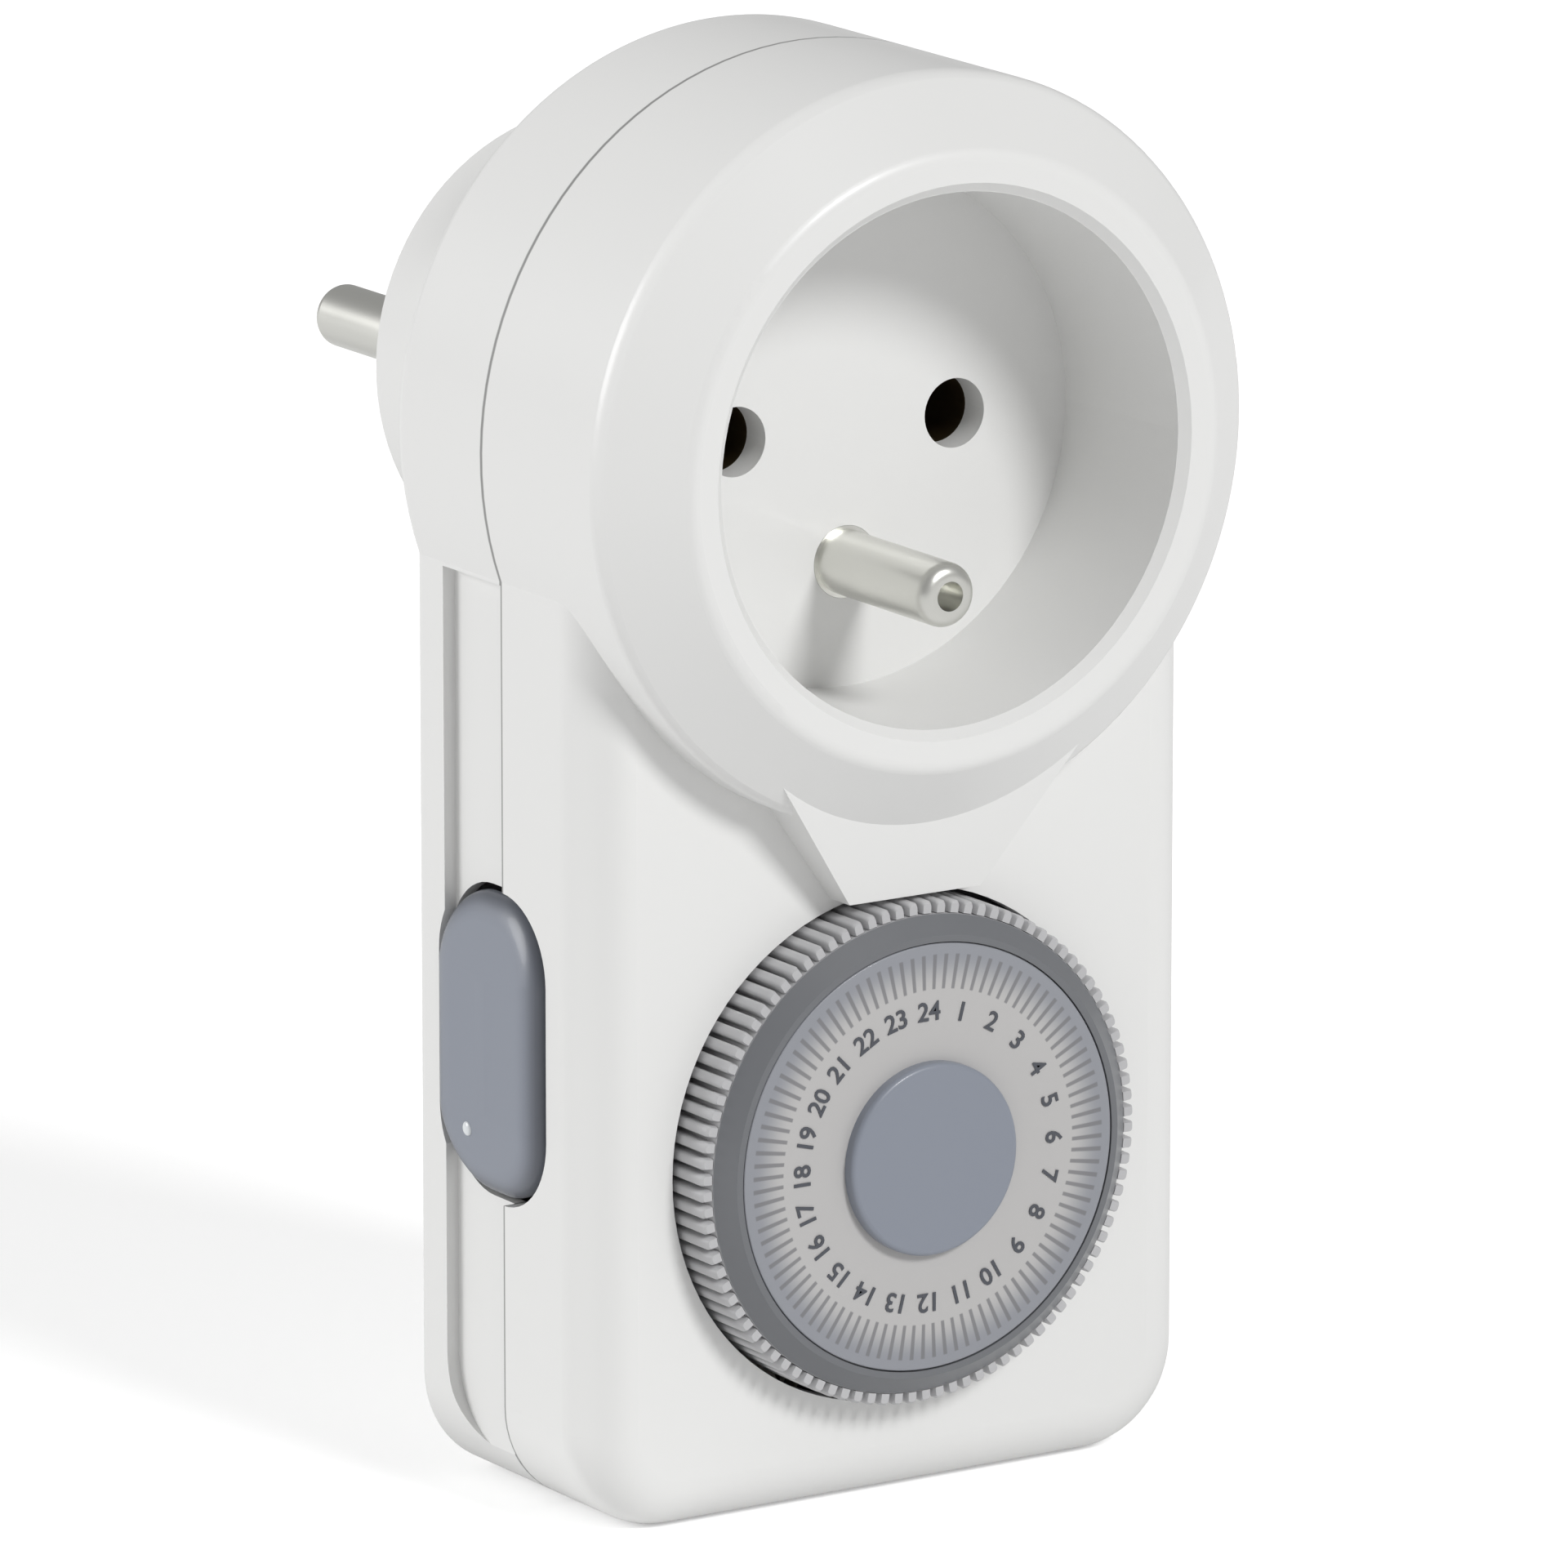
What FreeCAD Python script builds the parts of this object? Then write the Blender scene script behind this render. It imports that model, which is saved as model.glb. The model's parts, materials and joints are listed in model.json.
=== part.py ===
import FreeCAD, Part
import math
import os
import re

import Sketcher

# Plug-in mechanical day timer.
# Millimetres. +Z is up, the front looks along -Y, +X is to the right seen from the front.
# The origin is the middle of the plug face, half way between the two live pins.

SIZES = [
    ("head_radius", 27.9),
    ("body_width", 52.6),
    ("body_fall", 26.8),
    ("boss_height", 19.5),
    ("rear_depth", 12.0),
    ("front_depth", 12.0),
    ("head_rise", 8.0),
    ("wall", 2.0),
    ("bottom_corner", 8.0),
    ("front_rounding", 4.0),
    ("rear_rounding", 1.0),
    ("lip_bevel_depth", 4.6),
    ("lip_bevel_width", 5.4),
    ("lip_rounding", 1.5),
    ("mouth_rounding", 0.7),
    ("recess_radius", 19.7),
    ("recess_draft", 0.4),
    ("recess_depth", 14.8),
    ("floor_wall", 2.5),
    ("cup_wall", 1.8),
    ("boss_radius", 18.0),
    ("boss_rounding", 0.5),
    ("boss_face", 2.5),
    ("pin_radius", 2.4),
    ("pin_length", 19.0),
    ("pin_spacing", 19.0),
    ("shank_step", 0.6),
    ("earth_shank_step", 0.3),
    ("tip_rounding", 1.0),
    ("pin_collar", 1.0),
    ("collar_thickness", 1.4),
    ("earth_offset", 10.0),
    ("earth_pin_length", 13.9),
    ("earth_dimple", 1.1),
    ("dimple_depth", 3.0),
    ("hole_radius", 2.6),
    ("contact_gap", 0.05),
    ("sleeve_wall", 0.8),
    ("carrier_radius", 15.2),
    ("carrier_depth", 8.0),
    ("strip_thickness", 0.8),
    ("strip_half_width", 1.8),
    ("lug_wall", 1.0),
    ("open_circuit_gap", 1.0),
    ("bush_wall", 1.0),
    ("earth_bush_length", 6.0),
    ("sleeve_reach", 2.0),
    ("dial_drop", 52.4),
    ("dial_rise", 4.5),
    ("dial_bevel_rise", 1.2),
    ("dial_face_radius", 16.6),
    ("drum_radius", 17.95),
    ("drum_wall", 1.0),
    ("dial_web", 1.6),
    ("dial_hub_radius", 7.24),
    ("dial_hub_rise", 0.9),
    ("dial_core_radius", 4.5),
    ("scale_thickness", 0.4),
    ("scale_rim", 0.5),
    ("scale_gap", 0.1),
    ("tappet_count", 96),
    ("tappet_block_count", 8),
    ("tappet_height", 0.9),
    ("tappet_width", 0.84),
    ("tappet_length", 5.5),
    ("tappet_travel", 2.0),
    ("tappet_gap", 0.05),
    ("dial_opening_gap", 0.4),
    ("axle_radius", 2.0),
    ("arbor_radius", 0.6),
    ("running_gap", 0.05),
    ("seat_gap", 0.02),
    ("past", 1.0),
    ("root", 0.5),
    ("pin_block_root", 0.2),
    ("tooth_module", 0.4),
    ("dial_teeth", 72),
    ("wheel_teeth", 40),
    ("pinion_teeth", 10),
    ("gear_thickness", 1.0),
    ("layer_gap", 0.3),
    ("plate_thickness", 1.2),
    ("plate_half_width", 17.6),
    ("plate_rise", 11.4),
    ("plate_fall", 22.6),
    ("post_radius", 2.0),
    ("motor_radius", 12.0),
    ("motor_wall", 0.8),
    ("rotor_radius", 6.5),
    ("bobbin_bore", 7.2),
    ("bobbin_wall", 0.7),
    ("bobbin_radius", 10.9),
    ("coil_radius", 10.5),
    ("magnet_gap", 0.6),
    ("rocker_height", 22.6),
    ("rocker_width", 13.9),
    ("rocker_corner", 6.0),
    ("rocker_proud", 1.2),
    ("rocker_depth", 3.4),
    ("rocker_gap", 0.45),
    ("rocker_drop", 44.2),
    ("rocker_setback", 1.45),
    ("rocker_crown", 60.0),
    ("rocker_pin_radius", 1.0),
    ("rocker_hub_radius", 2.0),
    ("pin_block", 2.4),
    ("strip_width", 8.0),
    ("strip_recess", 1.0),
    ("strip_foot", 3.8),
    ("strip_corner", 6.5),
    ("strip_top_drop", 9.6),
    ("neck_top_drop", 20.0),
    ("neck_top_half", 14.9),
    ("neck_bottom_half", 5.7),
    ("neck_bottom_rise", 2.6),
    ("neck_step", 2.6),
    ("switch_side_gap", 1.3),
    ("switch_below", 4.0),
    ("switch_above", 5.4),
    ("switch_wall", 1.0),
    ("switch_rise", 1.6),
    ("switch_depth", 14.4),
    ("tab_rise", 4.0),
    ("blade_rise", 2.4),
    ("busbar_gap", 2.2),
    ("lever_nose", 5.5),
    ("lever_inset", 2.5),
    ("lever_half_height", 1.4),
    ("lever_rise", 16.0),
    ("lever_thickness", 1.0),
    ("lever_gap", 0.25),
    ("lever_pin_radius", 0.8),
    ("lever_hub_radius", 1.6),
    ("lever_pin_set", 0.6),
    ("lever_side_gap", 0.2),
    ("ear_height", 1.6),
    ("ear_front", 0.4),
    ("blade_thickness", 0.3),
    ("screw_inset", 5.8),
    ("screw_foot", 7.7),
    ("screw_high", 15.9),
    ("screw_radius", 1.2),
    ("screw_head_radius", 2.4),
    ("screw_head_height", 1.5),
    ("screw_length", 11.0),
    ("screw_wall", 1.2),
    ("screw_sink", 2.2),
    ("screw_gap", 0.2),
    ("screw_slot_width", 0.7),
    ("screw_slot_depth", 0.6),
]

# Derived places, each worked out from the sizes above.
PLACES = [
    ("half_width", "body_width / 2"),
    ("body_drop", "dial_drop + body_fall"),
    ("strip_drop", "body_drop - strip_foot"),
    ("screw_x_low", "half_width - screw_inset"),
    ("screw_drop_low", "body_drop - screw_foot"),
    ("lever_drop", "dial_drop - lever_rise"),
    ("switch_low", "lever_drop + switch_below"),
    ("switch_high", "lever_drop - switch_above"),
    ("switch_right", "half_width - wall - switch_side_gap"),
    ("lever_pivot", "switch_right - lever_inset"),
    ("plate_top_drop", "dial_drop - plate_rise"),
    ("plate_bottom_drop", "dial_drop + plate_fall"),
    ("rear_face", "-boss_height"),
    ("parting", "rear_face - rear_depth"),
    ("body_front", "parting - front_depth"),
    ("head_front", "body_front - head_rise"),
    ("inner_front", "body_front + wall"),
    ("inner_rear", "rear_face - wall"),
    ("recess_floor", "head_front + recess_depth"),
    ("floor_back", "recess_floor + floor_wall"),
    ("pin_x", "pin_spacing / 2"),
    ("shank_radius", "pin_radius + shank_step"),
    ("earth_shank", "pin_radius + earth_shank_step"),
    ("sleeve_bore", "pin_radius + contact_gap"),
    ("sleeve_radius", "sleeve_bore + sleeve_wall"),
    ("carrier_back", "floor_back + carrier_depth"),
    ("load_ring_back", "carrier_back + strip_thickness"),
    ("sleeve_back", "load_ring_back + layer_gap"),
    ("pin_end", "sleeve_back + open_circuit_gap"),
    ("live_ring_front", "pin_end + layer_gap"),
    ("live_ring_back", "live_ring_front + strip_thickness"),
    ("dial_face", "body_front - dial_rise"),
    ("web_front", "dial_face + scale_thickness"),
    ("rim_front", "dial_face + dial_bevel_rise"),
    ("tappet_back", "rim_front + tappet_length"),
    ("tappet_radius", "drum_radius + tappet_gap + tappet_height"),
    ("dial_gear_front", "tappet_back + tappet_travel + layer_gap"),
    ("dial_gear_back", "dial_gear_front + gear_thickness"),
    ("second_front", "dial_gear_back + layer_gap"),
    ("second_back", "second_front + gear_thickness"),
    ("third_front", "second_back + layer_gap"),
    ("third_back", "third_front + gear_thickness"),
    ("fourth_front", "third_back + layer_gap"),
    ("fourth_back", "fourth_front + gear_thickness"),
    ("plate_front", "fourth_back + layer_gap"),
    ("plate_back", "plate_front + plate_thickness"),
    ("can_front", "plate_back + motor_wall"),
    ("can_back", "inner_rear - layer_gap"),
    ("rocker_middle", "parting + rocker_setback"),
    ("rocker_face", "-half_width - rocker_proud"),
    ("rocker_back", "rocker_face + rocker_depth"),
    ("lever_front", "tappet_back + tappet_travel + lever_gap"),
    ("lever_back", "lever_front + lever_thickness"),
    ("switch_front", "lever_back + switch_rise"),
    ("switch_rear", "switch_front + switch_depth"),
    ("neck_low", "-dial_drop + tappet_radius + dial_opening_gap"),
    ("pin_y", "lever_front + lever_thickness / 2 + lever_pin_set"),
    ("ear_low", "-lever_drop - lever_half_height - lever_side_gap"),
    ("ear_high", "-lever_drop + lever_half_height + lever_side_gap"),
    ("ear_top", "ear_high + ear_height"),
    ("load_left", "pin_x + strip_half_width + busbar_gap"),
    ("load_right", "load_left + 2 * strip_half_width"),
    ("tab_low", "-lever_drop - strip_half_width / 2"),
    ("tab_high", "tab_low + strip_half_width"),
    ("switch_left", "pin_x - strip_half_width - layer_gap - switch_wall"),
    ("blade_front", "switch_front + blade_rise"),
    ("blade_back", "blade_front + blade_thickness"),
    ("earth_joint", "carrier_back + earth_bush_length / 2"),
    ("earth_bush_back", "carrier_back + earth_bush_length"),
    ("scale_radius", "dial_face_radius - scale_rim"),
    ("screw_seat", "rear_face - screw_sink"),
]

doc = FreeCAD.newDocument("day_timer")
sheet = doc.addObject("Spreadsheet::Sheet", "sizes")
places = doc.addObject("App::FeaturePython", "places")
NODES = []


def bind(text):
    """Turn an expression in plain names into one that names the sheet and the places."""
    known_places = [name for name, _ in PLACES]
    known_sizes = [name for name, _ in SIZES]

    def full(match):
        word = match.group(0)
        if word in known_sizes:
            return "sizes." + word
        if word in known_places:
            return "places." + word
        return word

    return re.sub(r"[a-z][a-z0-9_]*", full, text)


def value(name):
    """Give the present number behind a size or a place."""
    if name in dict(SIZES):
        return float(sheet.get(name))
    return getattr(places, name)


def fill_sheet():
    for row, (name, number) in enumerate(SIZES, start=1):
        cell = "A%d" % row
        sheet.set(cell, str(number))
        sheet.setAlias(cell, name)
    doc.recompute()
    for name, text in PLACES:
        places.addProperty("App::PropertyFloat", name)
        places.setExpression(name, bind(text))
    doc.recompute()


def node(shape_object, name):
    """Name a finished sub-part."""
    shape_object.Label = name
    NODES.append(shape_object)
    return shape_object


def move_to(thing, x="0", y="0", z="0"):
    for axis, text in (("x", x), ("y", y), ("z", z)):
        thing.setExpression(".Placement.Base." + axis, bind(text))


def drum(name, radius, start, stop, x="0", z="0"):
    """A plain cylinder along Y."""
    solid = doc.addObject("Part::Cylinder", name)
    solid.Placement = FreeCAD.Placement(FreeCAD.Vector(), FreeCAD.Rotation(FreeCAD.Vector(1, 0, 0), -90))
    solid.setExpression("Radius", bind(radius))
    solid.setExpression("Height", bind("(%s) - (%s)" % (stop, start)))
    move_to(solid, x, start, z)
    return solid


def post(name, radius, low, high, x, y):
    """A plain cylinder along Z."""
    solid = doc.addObject("Part::Cylinder", name)
    solid.setExpression("Radius", bind(radius))
    solid.setExpression("Height", bind("(%s) - (%s)" % (high, low)))
    move_to(solid, x, y, low)
    return solid


def block(name, xs, ys, zs):
    """A plain box between two places along each axis."""
    solid = doc.addObject("Part::Box", name)
    for prop, (low, high) in (("Length", xs), ("Width", ys), ("Height", zs)):
        solid.setExpression(prop, bind("(%s) - (%s)" % (high, low)))
    move_to(solid, xs[0], ys[0], zs[0])
    return solid


def joined(name, parts):
    solid = doc.addObject("Part::MultiFuse", name)
    solid.Shapes = parts
    return solid


def without(name, base, tools):
    """Take the tools away from the base."""
    solid = doc.addObject("Part::Cut", name)
    solid.Base = base
    solid.Tool = tools[0] if len(tools) == 1 else joined(name + "_tools", tools)
    return solid


def common(name, first, second):
    solid = doc.addObject("Part::Common", name)
    solid.Base = first
    solid.Tool = second
    return solid


def rounded(name, base, size, pick):
    """Round the edges that pick accepts, to a size named in the sheet."""
    doc.recompute()
    solid = doc.addObject("Part::Fillet", name)
    solid.Base = base
    radius = value(size)
    solid.Edges = [(number, radius, radius)
                   for number, edge in enumerate(base.Shape.Edges, start=1) if pick(edge)]
    return solid


def sketch_outline(body, plane_role, points):
    """A closed outline whose corners are each held by two bound distances."""
    sketch = body.newObject("Sketcher::SketchObject", body.Name + "_outline")
    plane = [item for item in body.Origin.OriginFeatures if item.Role == plane_role][0]
    sketch.AttachmentSupport = (plane, [""])
    sketch.MapMode = "FlatFace"
    count = len(points)
    for index in range(count):
        start = FreeCAD.Vector(math.cos(index), math.sin(index), 0)
        stop = FreeCAD.Vector(math.cos(index + 1), math.sin(index + 1), 0)
        sketch.addGeometry(Part.LineSegment(start, stop))
    for index in range(count):
        sketch.addConstraint(Sketcher.Constraint("Coincident", index, 2, (index + 1) % count, 1))
    for index, corner in enumerate(points):
        for kind, text in zip(("DistanceX", "DistanceY"), corner):
            number = sketch.addConstraint(Sketcher.Constraint(kind, -1, 1, index, 1, 1.0))
            sketch.setExpression("Constraints[%d]" % number, bind(text))
    return sketch


def turned(name, points, x="0", z="0"):
    """A body turned about an axis along Y. Each point is a radius and a place along Y."""
    body = doc.addObject("PartDesign::Body", name)
    sketch = sketch_outline(body, "XY_Plane", points)
    turn = body.newObject("PartDesign::Revolution", name + "_turn")
    turn.Profile = sketch
    turn.ReferenceAxis = (sketch, ["V_Axis"])
    turn.Angle = 360
    move_to(body, x, "0", z)
    return body


def plate(name, points, front, back):
    """A flat plate. Each point is a place along X and a place along Z."""
    body = doc.addObject("PartDesign::Body", name)
    sketch = sketch_outline(body, "XZ_Plane", points)
    pad = body.newObject("PartDesign::Pad", name + "_pad")
    pad.Profile = sketch
    pad.setExpression("Length", bind("(%s) - (%s)" % (back, front)))
    move_to(body, "0", back, "0")
    return body


def tube(name, bore, radius, start, stop, x="0", z="0"):
    return turned(name, [(bore, start), (radius, start), (radius, stop), (bore, stop)], x, z)


def middle(edge):
    return edge.valueAt((edge.FirstParameter + edge.LastParameter) / 2)


def near(one, other):
    return abs(one - other) < 1e-4


def along_y(edge):
    start, stop = edge.valueAt(edge.FirstParameter), edge.valueAt(edge.LastParameter)
    return near(start.x, stop.x) and near(start.z, stop.z) and not near(start.y, stop.y)


def body_block(name, front, back, rounded_face, size):
    """The box below the head, with its two bottom corners and one face's rim rounded."""
    base = block(name + "_box", ("-half_width", "half_width"), (front, back), ("-body_drop", "0"))
    low = -value("body_drop")
    cornered = rounded(name + "_corners", base, "bottom_corner",
                       lambda edge: along_y(edge) and near(middle(edge).z, low))
    face = value(rounded_face)
    return rounded(name, cornered, size,
                   lambda edge: near(middle(edge).y, face) and middle(edge).z < -0.001
                   and not along_y(edge))


def cavity_block(name, front, back):
    """The room inside the box, one wall smaller than the box."""
    base = block(name + "_box", ("-half_width + wall", "half_width - wall"), (front, back),
                 ("-body_drop + wall", "0"))
    low = -value("body_drop") + value("wall")
    doc.recompute()
    solid = doc.addObject("Part::Fillet", name)
    solid.Base = base
    radius = value("bottom_corner") - value("wall")
    solid.Edges = [(number, radius, radius) for number, edge in enumerate(base.Shape.Edges, start=1)
                   if along_y(edge) and near(middle(edge).z, low)]
    return solid


def rocker_outline(name, gap, left, right):
    """The upright rounded outline of the side rocker, or of its opening when a gap is given."""
    half_depth = "rocker_width / 2 + " + gap
    half_height = "rocker_height / 2 + " + gap
    base = block(name + "_box", (left, right),
                 ("rocker_middle - (%s)" % half_depth, "rocker_middle + (%s)" % half_depth),
                 ("-rocker_drop - (%s)" % half_height, "-rocker_drop + (%s)" % half_height))

    def runs_along_x(edge):
        start, stop = edge.valueAt(edge.FirstParameter), edge.valueAt(edge.LastParameter)
        return not near(start.x, stop.x)

    return rounded(name, base, "rocker_corner", runs_along_x)


def screw_places():
    """Middle of each case screw, as a place along X and a place along Z."""
    return [("screw_x_low", "-screw_drop_low"), ("-screw_x_low", "-screw_drop_low"),
            ("screw_high", "screw_high"), ("-screw_high", "screw_high")]


def head_solid():
    """The round head with its bevelled and rounded front lip, before it is hollowed."""
    raw = turned("head_raw", [
        ("0", "parting"), ("head_radius", "parting"), ("head_radius", "head_front + lip_bevel_depth"),
        ("head_radius - lip_bevel_width", "head_front"), ("0", "head_front")])
    lip = value("head_front") + value("lip_bevel_depth")
    front = value("head_front")
    return rounded("head_rounded", raw, "lip_rounding",
                   lambda edge: near(middle(edge).y, lip) or near(middle(edge).y, front))


def neck_ridge():
    """The tapered ridge that runs from the head down to the dial."""
    wedge = plate("neck_wedge", [
        ("-neck_top_half", "-neck_top_drop"),
        ("-neck_bottom_half", "neck_low"),
        ("neck_bottom_half", "neck_low"),
        ("neck_top_half", "-neck_top_drop")], "head_front", "inner_front")
    side = doc.addObject("PartDesign::Body", "neck_side")
    sketch = sketch_outline(side, "YZ_Plane", [
        ("inner_front", "-neck_top_drop"), ("head_front + neck_step", "-neck_top_drop"),
        ("body_front - neck_bottom_rise", "neck_low"),
        ("inner_front", "neck_low")])
    pad = side.newObject("PartDesign::Pad", "neck_side_pad")
    pad.Profile = sketch
    pad.Midplane = True
    pad.setExpression("Length", bind("body_width"))
    return common("neck", wedge, side)


def front_cover():
    head = head_solid()
    box = body_block("front_box", "body_front", "parting", "body_front", "front_rounding")
    outer = joined("front_outer", [head, box, neck_ridge()])
    room = joined("front_room", [
        cavity_block("front_cavity", "inner_front", "parting + past"),
        drum("head_room", "head_radius - wall", "body_front - head_rise / 2", "parting + past")])
    cup = drum("cup", "recess_radius + cup_wall", "head_front + cup_wall", "floor_back")
    hollow_room = without("front_hollow", room, [cup])
    posts = []
    holes = []
    for number, (x, z) in enumerate(screw_places()):
        posts.append(drum("front_post_%d" % number, "screw_radius + screw_wall", "inner_front - root",
                          "screw_seat - wall - seat_gap", x, z))
        holes.append(drum("front_pilot_%d" % number, "screw_radius + running_gap",
                          "screw_seat - screw_length - past", "screw_seat", x, z))
    block_front = block("front_pin_block",
                        ("rocker_back - pin_block_root", "rocker_back + pin_block"),
                        ("inner_front", "rocker_middle - rocker_width / 2 - rocker_gap"),
                        ("-rocker_drop - pin_block", "-rocker_drop + pin_block"))
    shell = joined("front_shell", [without("front_skin", outer, [hollow_room]), block_front] + posts)
    recess = doc.addObject("Part::Cone", "socket_recess")
    recess.Placement = FreeCAD.Placement(FreeCAD.Vector(), FreeCAD.Rotation(FreeCAD.Vector(1, 0, 0), -90))
    recess.setExpression("Radius1", bind("recess_radius"))
    recess.setExpression("Radius2", bind("recess_radius - recess_draft"))
    recess.setExpression("Height", bind("recess_depth"))
    move_to(recess, "0", "head_front", "0")
    mouth = turned("mouth_cut", [
        ("0", "head_front - past"), ("recess_radius + mouth_rounding + past", "head_front - past"),
        ("recess_radius", "head_front + mouth_rounding"), ("0", "head_front + mouth_rounding")])
    openings = [recess, mouth,
                drum("hole_right", "hole_radius", "head_front", "floor_back + past", "pin_x"),
                drum("hole_left", "hole_radius", "head_front", "floor_back + past", "-pin_x"),
                drum("hole_earth", "earth_shank + seat_gap", "head_front", "floor_back + past", "0",
                     "-earth_offset"),
                drum("dial_opening", "tappet_radius + dial_opening_gap", "head_front", "inner_front + past",
                     "0", "-dial_drop"),
                rocker_outline("front_rocker_cut", "rocker_gap", "rocker_face - past",
                               "-half_width + wall + past"),
                drum("front_pin_hole", "rocker_pin_radius + seat_gap", "inner_front + wall",
                     "rocker_middle", "rocker_back", "-rocker_drop")]
    node(without("front_cover_solid", shell, openings + holes), "front_cover")


def side_strip(name, sign):
    """The shallow recessed strip along one side, with its rounded lower rear corner."""
    outside, inside = "(half_width + 1)", "(half_width - strip_recess)"
    xs = (inside, outside) if sign > 0 else ("-" + outside, "-" + inside)
    base = block(name + "_box", xs, ("parting - root", "parting + strip_width"),
                 ("-strip_drop", "-strip_top_drop"))
    back = value("parting") + value("strip_width")
    low = -value("strip_drop")

    def lower_rear(edge):
        return near(middle(edge).y, back) and near(middle(edge).z, low)

    return rounded(name, base, "strip_corner", lower_rear)


def rear_cover():
    disc = drum("rear_disc_raw", "head_radius", "parting", "rear_face")
    back = value("rear_face")
    head = rounded("rear_disc", disc, "rear_rounding",
                   lambda edge: near(middle(edge).y, back) and not along_y(edge))
    box = body_block("rear_box", "parting", "rear_face", "rear_face", "rear_rounding")
    boss = turned("plug_boss", [
        ("0", "rear_face - past"), ("boss_radius", "rear_face - past"), ("boss_radius", "-boss_rounding"),
        ("boss_radius - boss_rounding", "0"), ("0", "0")])
    outer = joined("rear_outer", [head, box, boss])
    room = joined("rear_room", [
        cavity_block("rear_cavity", "parting - past", "inner_rear"),
        drum("rear_head_room", "head_radius - wall", "parting - past", "inner_rear"),
        drum("boss_room", "boss_radius - wall", "parting - past", "-boss_face")])
    posts = []
    holes = []
    for number, (x, z) in enumerate(screw_places()):
        posts.append(drum("rear_post_%d" % number, "screw_head_radius + screw_gap + screw_wall",
                          "screw_seat - wall", "rear_face - root", x, z))
        holes.append(drum("rear_hole_%d" % number, "screw_radius + screw_gap", "parting",
                          "rear_face + past", x, z))
        holes.append(drum("rear_sink_%d" % number, "screw_head_radius + screw_gap", "screw_seat",
                          "rear_face + past", x, z))
    for number, (x, z) in enumerate(plate_posts()):
        posts.append(drum("plate_post_%d" % number, "post_radius", "plate_back", "inner_rear + root", x, z))
    block_rear = block("rear_pin_block",
                       ("rocker_back - pin_block_root", "rocker_back + pin_block"),
                       ("rocker_middle + rocker_width / 2 + rocker_gap", "inner_rear + root"),
                       ("-rocker_drop - pin_block", "-rocker_drop + pin_block"))
    shell = joined("rear_shell", [without("rear_skin", outer, [room]), block_rear] + posts)
    cuts = [drum("rear_hole_live", "shank_radius + seat_gap", "-boss_face - past", "past", "pin_x"),
            drum("rear_hole_neutral", "shank_radius + seat_gap", "-boss_face - past", "past", "-pin_x"),
            drum("rear_hole_earth", "sleeve_radius + seat_gap", "-boss_face - past", "past", "0",
                 "-earth_offset"),
            side_strip("strip_right", 1), side_strip("strip_left", -1),
            rocker_outline("rear_rocker_cut", "rocker_gap", "rocker_face - past",
                           "-half_width + wall + past"),
            drum("rear_pin_hole", "rocker_pin_radius + seat_gap", "rocker_middle", "inner_rear",
                 "rocker_back", "-rocker_drop")]
    node(without("rear_cover_solid", shell, cuts + holes), "rear_cover")


def plate_posts():
    """Middle of each post that carries the gear plate."""
    inset = "(plate_half_width - post_radius)"
    return [("-" + inset, "-plate_top_drop - post_radius"),
            ("-" + inset, "-plate_bottom_drop + 2 * post_radius"),
            (inset, "-plate_bottom_drop + 2 * post_radius")]


def plug_pins():
    """The two round plug pins, each with a collar behind the plug face and a rounded tip."""
    for name, x in (("live_pin", "pin_x"), ("neutral_pin", "-pin_x")):
        raw = turned(name + "_raw", [
            ("0", "pin_end"), ("shank_radius", "pin_end"),
            ("shank_radius", "-boss_face - collar_thickness"),
            ("shank_radius + pin_collar", "-boss_face - collar_thickness"),
            ("shank_radius + pin_collar", "-boss_face"), ("shank_radius", "-boss_face"),
            ("shank_radius", "0"), ("pin_radius", "0"), ("pin_radius", "pin_length"),
            ("0", "pin_length")], x)
        tip = value("pin_length")
        node(rounded(name + "_solid", raw, "tip_rounding", lambda edge: near(middle(edge).y, tip)), name)


def earth_parts():
    tip = value("recess_floor") - value("earth_pin_length")
    raw = turned("earth_pin_raw", [
        ("earth_dimple", "recess_floor - earth_pin_length"),
        ("pin_radius", "recess_floor - earth_pin_length"),
        ("pin_radius", "recess_floor"), ("earth_shank", "recess_floor"), ("earth_shank", "earth_joint"),
        ("0", "earth_joint"),
        ("0", "recess_floor - earth_pin_length + dimple_depth"),
        ("earth_dimple", "recess_floor - earth_pin_length + dimple_depth")], "0", "-earth_offset")

    def outer_tip(edge):
        return near(middle(edge).y, tip) and edge.BoundBox.XLength > 2 * value("earth_dimple") + 0.1

    node(rounded("earth_pin_solid", raw, "tip_rounding", outer_tip), "earth_pin")
    node(tube("earth_sleeve_solid", "sleeve_bore", "sleeve_radius", "earth_joint + seat_gap", "-root",
              "0", "-earth_offset"), "earth_sleeve")
    node(turned("earth_bush_solid", [
        ("earth_shank + seat_gap", "carrier_back + seat_gap"),
        ("sleeve_radius + bush_wall", "carrier_back + seat_gap"),
        ("sleeve_radius + bush_wall", "earth_bush_back"), ("sleeve_radius + seat_gap", "earth_bush_back"),
        ("sleeve_radius + seat_gap", "earth_joint"), ("earth_shank + seat_gap", "earth_joint")],
        "0", "-earth_offset"), "earth_bush")


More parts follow.
